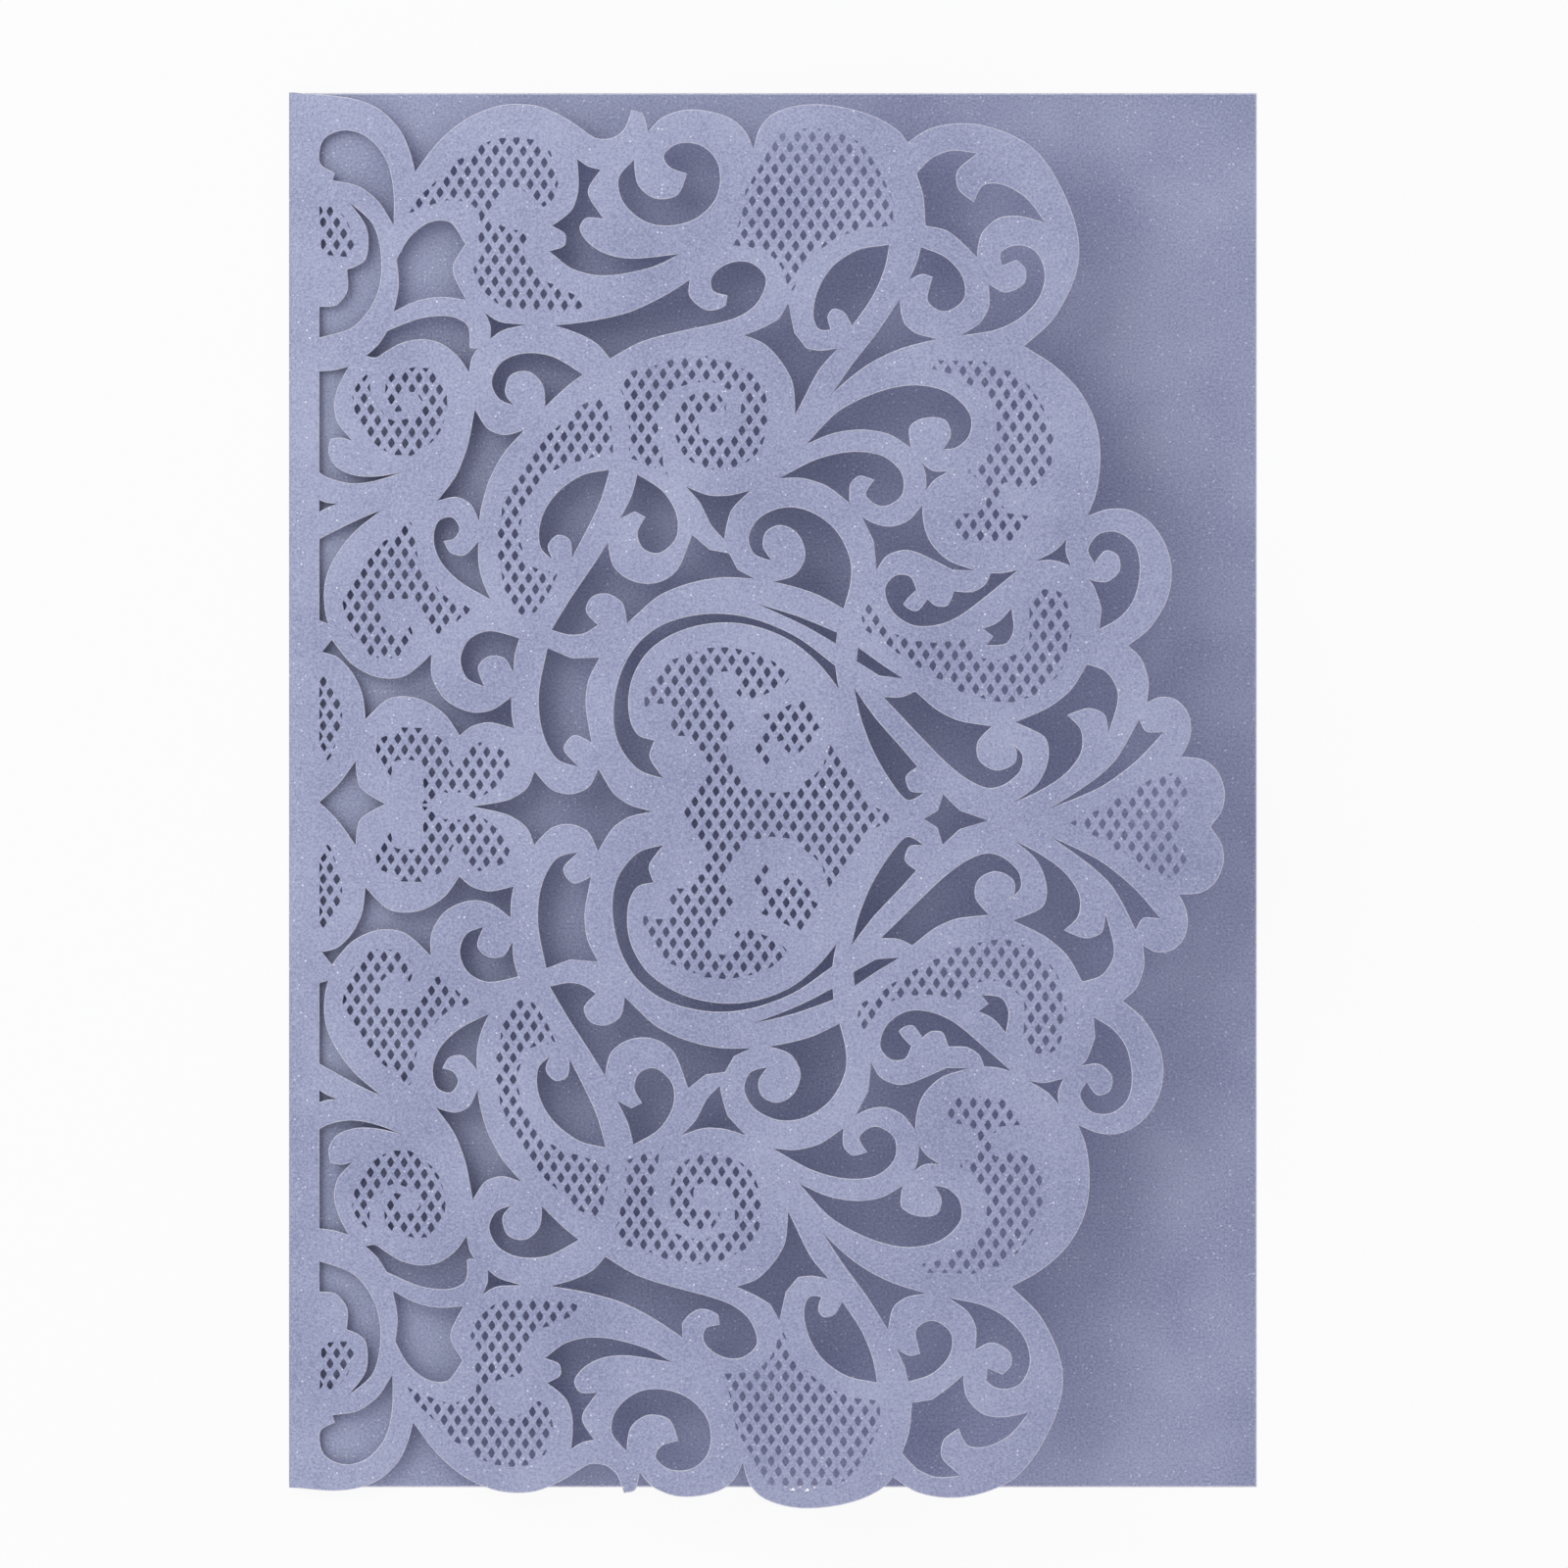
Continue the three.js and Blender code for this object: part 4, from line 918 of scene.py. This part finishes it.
@dataclass
class LaceCard:
    """The whole sheet: back panel, rounded fold and lace flap, as one closed skin."""

    node: str = "folded_card"
    body: str = "root"
    stock_slot: str = "pearl_card"
    sizes: SheetSizes = field(default_factory=SheetSizes)
    coarse_hole_mm2: float = 3.41
    coarse_hole_slack_mm2: float = 0.4
    skin_slack_mm: float = 0.02
    skin_level: float = 0.999
    least_turn: float = 1e-3
    speck_mm: float = 0.0002
    seam_gap_mm: float = 0.003
    left: float = field(init=False)
    right: float = field(init=False)
    half_height: float = field(init=False)
    bend_centre: Point = field(init=False)
    flap_place: Matrix = field(init=False)

    def __post_init__(self) -> None:
        """Reads the card's place from the frame."""
        low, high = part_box(self.node)
        self.left = low.x / MM
        self.right = high.x / MM
        radius = self.sizes.outer_radius_mm
        self.bend_centre = (self.left + radius, low.z / MM + radius)
        sin, cos = math.sin(self.sizes.lift), math.cos(self.sizes.lift)
        start = (self.bend_centre[0] - sin * radius, 0.0, self.bend_centre[1] + cos * radius)
        # Flat drawing to row frame: x runs up the flap, y along the fold, z out of its face.
        self.flap_place = Matrix(
            (
                (cos, 0, -sin, start[0]),
                (0, 1, 0, 0),
                (sin, 0, cos, start[2]),
                (0, 0, 0, 1),
            )
        )
        self.half_height = self.panel_half_height()

    def panel_half_height(self) -> float:
        """Reads half the height of the back panel from the node's underside.

        Returns:
            The half height in millimetres.
        """
        mesh = bpy.data.objects[self.node].data
        return max(v.co.y for v in mesh.vertices if v.co.z < self.skin_slack_mm * MM) / MM

    def packed_loops(self) -> list[list[Vector]]:
        """Reads the closed lines around the flap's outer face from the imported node.

        Returns:
            Each line as points of the flat drawing.
        """
        source = bmesh.new()
        source.from_mesh(bpy.data.objects[self.node].data)
        bmesh.ops.remove_doubles(source, verts=source.verts, dist=SAME_MM * MM)
        to_flat = self.flap_place.inverted()
        for vert in source.verts:
            vert.co = to_flat @ (vert.co / MM)
        source.normal_update()
        skin = {
            face for face in source.faces
            if face.normal.z > self.skin_level and abs(face.calc_center_median().z) < self.skin_slack_mm
        }
        after: dict[bmesh.types.BMVert, bmesh.types.BMVert] = {}
        for face in skin:
            for loop in face.loops:
                if not any(other in skin for other in loop.edge.link_faces if other is not face):
                    after[loop.vert] = loop.link_loop_next.vert
        found: list[list[Vector]] = []
        while after:
            vert = next(iter(after))
            line: list[Vector] = []
            while vert in after:
                line.append(vert.co.to_2d())
                vert = after.pop(vert)
            found.append(line)
        source.free()
        return found

    def outlines(self) -> list[Outline]:
        """Gives the smooth outlines of the flap and of its cut-outs, without the coarse diamonds.

        Returns:
            The outlines, the flap's own first and then from large to small.
        """
        kept: list[Outline] = []
        for line in self.packed_loops():
            size = abs(signed_area([tuple(point) for point in line]))
            is_diamond = len(line) == 4 and abs(size - self.coarse_hole_mm2) < self.coarse_hole_slack_mm2
            if not is_diamond:
                kept.append(SmoothOutline(line).drawn())
        kept.sort(key=lambda outline: -abs(signed_area(outline)))
        LOG.info("%d outlines with %d points", len(kept), sum(map(len, kept)))
        return kept

    def plate(self) -> bpy.types.Object:
        """Makes the flat flap as a closed plate, its outer face at height 0.

        Returns:
            The plate before it is perforated.
        """
        points: list[Vector] = []
        edges: list[tuple[int, int]] = []
        outlines = self.outlines()
        for outline in outlines:
            first = len(points)
            points.extend(Vector(point) for point in outline)
            count = len(outline)
            edges.extend((first + i, first + (i + 1) % count) for i in range(count))
        places, _, triangles, *_ = delaunay_2d_cdt(points, edges, [], INSIDE_OUTLINE, TRIANGULATION_MM)
        holes = [Hole(outline) for outline in outlines[1:]]
        kept: list[tuple[int, ...]] = []
        for triangle in triangles:
            middle = sum((places[i] for i in triangle), Vector((0, 0))) / 3
            if not any(hole.holds(middle) for hole in holes):
                a, b, c = (places[i] for i in triangle)
                turns_left = (b - a).cross(c - a) > 0
                kept.append(tuple(triangle) if turns_left else tuple(triangle)[::-1])
        return self.thickened(places, kept)

    def thickened(self, places: list[Vector], triangles: list[tuple[int, ...]]) -> bpy.types.Object:
        """Gives a flat net of triangles the sheet's thickness and a worn upper edge.

        Args:
            places: the net's points.
            triangles: its triangles, all anticlockwise.

        Returns:
            The closed plate.
        """
        sides = {(t[i], t[(i + 1) % 3]) for t in triangles for i in range(3)}
        rim = {start: end for start, end in sides if (end, start) not in sides}
        before = {end: start for start, end in rim.items()}
        made = bmesh.new()
        worn, thickness = self.sizes.worn_edge_mm, self.sizes.thickness_mm
        top: dict[int, bmesh.types.BMVert] = {}
        shoulder: dict[int, bmesh.types.BMVert] = {}
        bottom: dict[int, bmesh.types.BMVert] = {}
        for i in {i for t in triangles for i in t}:
            place = places[i]
            bottom[i] = made.verts.new((*place, -thickness))
            if i not in rim:
                top[i] = made.verts.new((*place, 0.0))
                continue
            arriving = (place - places[before[i]]).normalized()
            leaving = (places[rim[i]] - place).normalized()
            inwards = Vector((-arriving.y - leaving.y, arriving.x + leaving.x))
            inwards = inwards.normalized() if inwards.length > self.least_turn else -arriving
            # At the fold the flap goes on into the bend, so nothing is worn there.
            wear = 0.0 if place.x < SAME_MM else worn
            top[i] = made.verts.new((*(place + inwards * wear), 0.0))
            shoulder[i] = made.verts.new((*place, -wear))
        for ring in triangles:
            made.faces.new([top[i] for i in ring])
            made.faces.new([bottom[i] for i in ring[::-1]])
        for start, end in rim.items():
            made.faces.new((top[end], top[start], shoulder[start], shoulder[end]))
            made.faces.new((shoulder[end], shoulder[start], bottom[start], bottom[end]))
        bmesh.ops.remove_doubles(made, verts=made.verts, dist=FINEST_MM)
        return mesh_object("flat_flap", made)

    def section(self) -> list[tuple[Point, Point]]:
        """Gives the section of the bend as pairs of outer and inner points, from the flap's start on.

        Returns:
            Pairs of points, each with its x and z in millimetres.
        """
        start = math.pi / 2 + self.sizes.lift
        end = 1.5 * math.pi
        x, z = self.bend_centre
        rows: list[tuple[Point, Point]] = []
        for step in range(self.sizes.bend_steps + 1):
            angle = start + (end - start) * step / self.sizes.bend_steps
            cos, sin = math.cos(angle), math.sin(angle)
            outside, inside = (
                (x + cos * radius, z + sin * radius)
                for radius in (self.sizes.outer_radius_mm, self.sizes.inside_radius_mm)
            )
            rows.append((outside, inside))
        return rows

    def add_bend_and_panel(self, made: bmesh.types.BMesh) -> None:
        """Adds the rest of the sheet to the flap's mesh, in millimetres of the row frame.

        Args:
            made: the flap's mesh, open where the fold starts.
        """
        worn, thickness = self.sizes.worn_rim_mm, self.sizes.thickness_mm
        stations = [(outer, inner, 0.0, 0.0) for outer, inner in self.section()]
        rim_start = self.bend_centre[0] + self.sizes.rim_run_out_mm
        stations.append(((rim_start, 0.0), (rim_start, thickness), worn, 0.0))
        stations.append(((self.right, 0.0), (self.right, thickness), worn, worn))
        rows = [self.cross_row(made, *station) for station in stations]
        outside, inside = 0, 3
        for before, after in zip(rows, rows[1:]):
            for i in range(len(before)):
                j = (i + 1) % len(before)
                strip = made.faces.new((before[i], after[i], after[j], before[j]))
                strip.material_index = i not in (outside, inside)
        last = rows[-1]
        for corners in ((3, 4, 5, 2), (2, 5, 0, 1)):
            made.faces.new([last[i] for i in corners]).material_index = 1

    def cross_row(
        self, made: bmesh.types.BMesh, outer: Point, inner: Point, worn: float, short: float,
    ) -> list[bmesh.types.BMVert]:
        """Adds the six points of one section across the sheet, from its lower outer edge round.

        Args:
            made: the bmesh that they go into.
            outer: x and z of the outside of the sheet.
            inner: x and z of its inside.
            worn: how far the inside face's edges are worn back.
            short: how far the inside face ends before this section.

        Returns:
            Two points of the outside, then the upper edge's shoulder, the inside's two and a shoulder.
        """
        half = self.half_height
        # Each point: its place in the section, its height on the card, how far down, how far back.
        ring = (
            (outer, -half, 0.0, 0.0),
            (outer, half, 0.0, 0.0),
            (inner, half, worn, 0.0),
            (inner, half - worn, 0.0, short),
            (inner, worn - half, 0.0, short),
            (inner, -half, worn, 0.0),
        )
        return [made.verts.new((x - back, y, z - lower)) for (x, z), y, lower, back in ring]

    def build(self, stock: bpy.types.Material, edge: bpy.types.Material) -> bpy.types.Object:
        """Builds and dresses the whole card.

        Args:
            stock: material of the coated faces.
            edge: material of the cut walls.

        Returns:
            The finished piece, riding on its body.
        """
        lattice = LatticeCut(PatternPlacing(self.sizes))
        flat = lattice.cut(self.plate(), stock, edge)
        is_edge = [material == edge for material in flat.materials]
        made = bmesh.new()
        made.from_mesh(flat)
        for face in made.faces:
            face.material_index = int(is_edge[face.material_index])
        bpy.data.meshes.remove(flat)
        fold_face = [f for f in made.faces if all(v.co.x < SAME_MM for v in f.verts)]
        bmesh.ops.delete(made, geom=fold_face, context="FACES_ONLY")
        made.transform(self.flap_place)
        self.add_bend_and_panel(made)
        bmesh.ops.remove_doubles(made, verts=made.verts, dist=self.speck_mm)
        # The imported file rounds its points, so the flap and the bend meet within a few microns.
        past_seam = self.flap_place.translation.x + self.sizes.thickness_mm
        at_seam = [v for v in made.verts if v.co.x < past_seam]
        bmesh.ops.remove_doubles(made, verts=at_seam, dist=self.seam_gap_mm)
        made.transform(Matrix.Scale(MM, 4))
        open_edges = [e for e in made.edges if len(e.link_faces) != 2]
        walls = sum(face.material_index for face in made.faces)
        LOG.info("%d faces, %d on cut walls, %d open edges", len(made.faces), walls, len(open_edges))
        card = mesh_object("lace_card", made)
        card.data.materials.append(stock)
        card.data.materials.append(edge)
        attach(card, self.body)
        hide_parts(self.node)
        return card


@dataclass
class Studio:
    """The photograph's view: a white sweep, one soft lamp at the upper left and a camera overhead."""

    camera_height: float = 1.2
    field_width: float = 0.20587
    aim: Point = (0.00145, 0.0008)
    sensor_width_mm: float = 36.0
    clip: tuple[float, float] = (0.01, 20.0)
    lamp_place: tuple[float, float, float] = (-0.28, 0.24, 0.44)
    lamp_size: float = 0.34
    lamp_power: float = 0.9
    reflector_place: tuple[float, float, float] = (-0.26, -0.20, 0.34)
    reflector_size: float = 0.35
    reflector_power: float = 0.27
    lamp_colour: tuple[float, float, float] = (1.0, 1.02, 0.95)
    surround: float = 0.70
    overhead: float = 0.23
    surround_colour: tuple[float, float, float] = (0.99, 0.96, 1.06)
    dimming_heights: tuple[float, float] = (0.75, 0.95)
    floor_half: float = 1.5
    floor_drop: float = 0.0001
    floor_grey: float = 0.85
    floor_white_share: float = 0.92

    def camera(self) -> None:
        """Puts the camera straight above the card, as far off as the photograph's was."""
        data = bpy.data.cameras.new("overhead")
        data.sensor_width = self.sensor_width_mm
        data.lens = data.sensor_width * self.camera_height / self.field_width
        data.clip_start, data.clip_end = self.clip
        camera = bpy.data.objects.new("overhead", data)
        camera.location = (*self.aim, self.camera_height)
        bpy.context.scene.collection.objects.link(camera)
        bpy.context.scene.camera = camera

    def lamp(self, name: str, place: tuple[float, float, float], size: float, power: float) -> None:
        """Hangs one soft square lamp that faces the card.

        Args:
            name: what the lamp is.
            place: where it hangs, in metres.
            size: its side, in metres.
            power: its power in watts.
        """
        data = bpy.data.lights.new(name, "AREA")
        data.shape = "SQUARE"
        data.size = size
        data.energy = power
        data.color = self.lamp_colour
        lamp = bpy.data.objects.new(name, data)
        lamp.location = place
        lamp.rotation_mode = "QUATERNION"
        lamp.rotation_quaternion = Vector(place).to_track_quat("Z", "Y")
        bpy.context.scene.collection.objects.link(lamp)

    def sees_white(self, tree: bpy.types.NodeTree) -> bpy.types.NodeSocket:
        """Gives 1 for rays that see the white background: the camera's, and those in gloss and glass.

        Args:
            tree: the material's or the world's tree.

        Returns:
            The socket with that value.
        """
        path = add_node(tree, "ShaderNodeLightPath").outputs
        gloss = add_node(
            tree, "ShaderNodeMath", {"operation": "MAXIMUM"},
            input_0=path["Is Camera Ray"], input_1=path["Is Glossy Ray"],
        )
        glass = add_node(
            tree, "ShaderNodeMath", {"operation": "MAXIMUM"},
            input_0=gloss.outputs[0], input_1=path["Is Transmission Ray"],
        )
        return glass.outputs[0]

    def world(self) -> None:
        """Makes the surroundings white to the camera and soft light to the card, dimmer overhead."""
        world = bpy.data.worlds.new("white_sweep")
        bpy.context.scene.world = world
        world.use_nodes = True
        tree = world.node_tree
        tree.nodes.clear()
        direction = add_node(tree, "ShaderNodeTexCoord").outputs["Generated"]
        height = add_node(tree, "ShaderNodeSeparateXYZ", None, Vector=direction)
        dimming = {
            "From Min": self.dimming_heights[0],
            "From Max": self.dimming_heights[1],
            "To Min": self.surround,
            "To Max": self.overhead,
        }
        strength = add_node(tree, "ShaderNodeMapRange", dimming, Value=height.outputs["Z"])
        light = add_node(tree, "ShaderNodeBackground", None, Strength=strength.outputs["Result"])
        light.inputs["Color"].default_value = (*self.surround_colour, 1)
        seen = add_node(tree, "ShaderNodeBackground", {"Strength": 1.0})
        seen.inputs["Color"].default_value = (1, 1, 1, 1)
        mixed = add_node(
            tree, "ShaderNodeMixShader", None, input_0=self.sees_white(tree),
            input_1=light.outputs[0], input_2=seen.outputs[0],
        )
        add_node(tree, "ShaderNodeOutputWorld", None, Surface=mixed.outputs[0])

    def floor(self) -> None:
        """Lays the floor that the card rests on. It shows white, with a faint shadow of the card."""
        made = bmesh.new()
        half = self.floor_half
        corners = ((-half, -half), (half, -half), (half, half), (-half, half))
        made.faces.new([made.verts.new((x, y, -self.floor_drop)) for x, y in corners])
        floor = mesh_object("floor", made)
        material = bpy.data.materials.new("white_floor")
        material.use_nodes = True
        tree = material.node_tree
        tree.nodes.clear()
        matt = add_node(tree, "ShaderNodeBsdfDiffuse", {"Roughness": 0.0})
        matt.inputs["Color"].default_value = (*[self.floor_grey] * 3, 1)
        white = add_node(tree, "ShaderNodeEmission", {"Strength": 1.0})
        share = add_node(
            tree, "ShaderNodeMath", {"operation": "MULTIPLY"}, input_0=self.sees_white(tree),
        )
        share.inputs[1].default_value = self.floor_white_share
        mixed = add_node(
            tree, "ShaderNodeMixShader", None,
            input_0=share.outputs[0], input_1=matt.outputs[0], input_2=white.outputs[0],
        )
        add_node(tree, "ShaderNodeOutputMaterial", None, Surface=mixed.outputs[0])
        floor.data.materials.append(material)

    def build(self) -> None:
        """Sets up the camera, the light and the floor."""
        self.camera()
        self.lamp("softbox", self.lamp_place, self.lamp_size, self.lamp_power)
        self.lamp("reflector", self.reflector_place, self.reflector_size, self.reflector_power)
        self.world()
        self.floor()
        bpy.context.scene.view_settings.view_transform = "Standard"


def main() -> None:
    """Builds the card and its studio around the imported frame."""
    logging.basicConfig(level=logging.INFO, format="%(name)s: %(message)s")
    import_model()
    card = LaceCard().build(CardStock().material(), CutEdge().material())
    LOG.info("%s has %d polygons", card.name, len(card.data.polygons))
    Studio().build()
    bpy.context.view_layer.update()


if __name__ == "__main__":
    main()
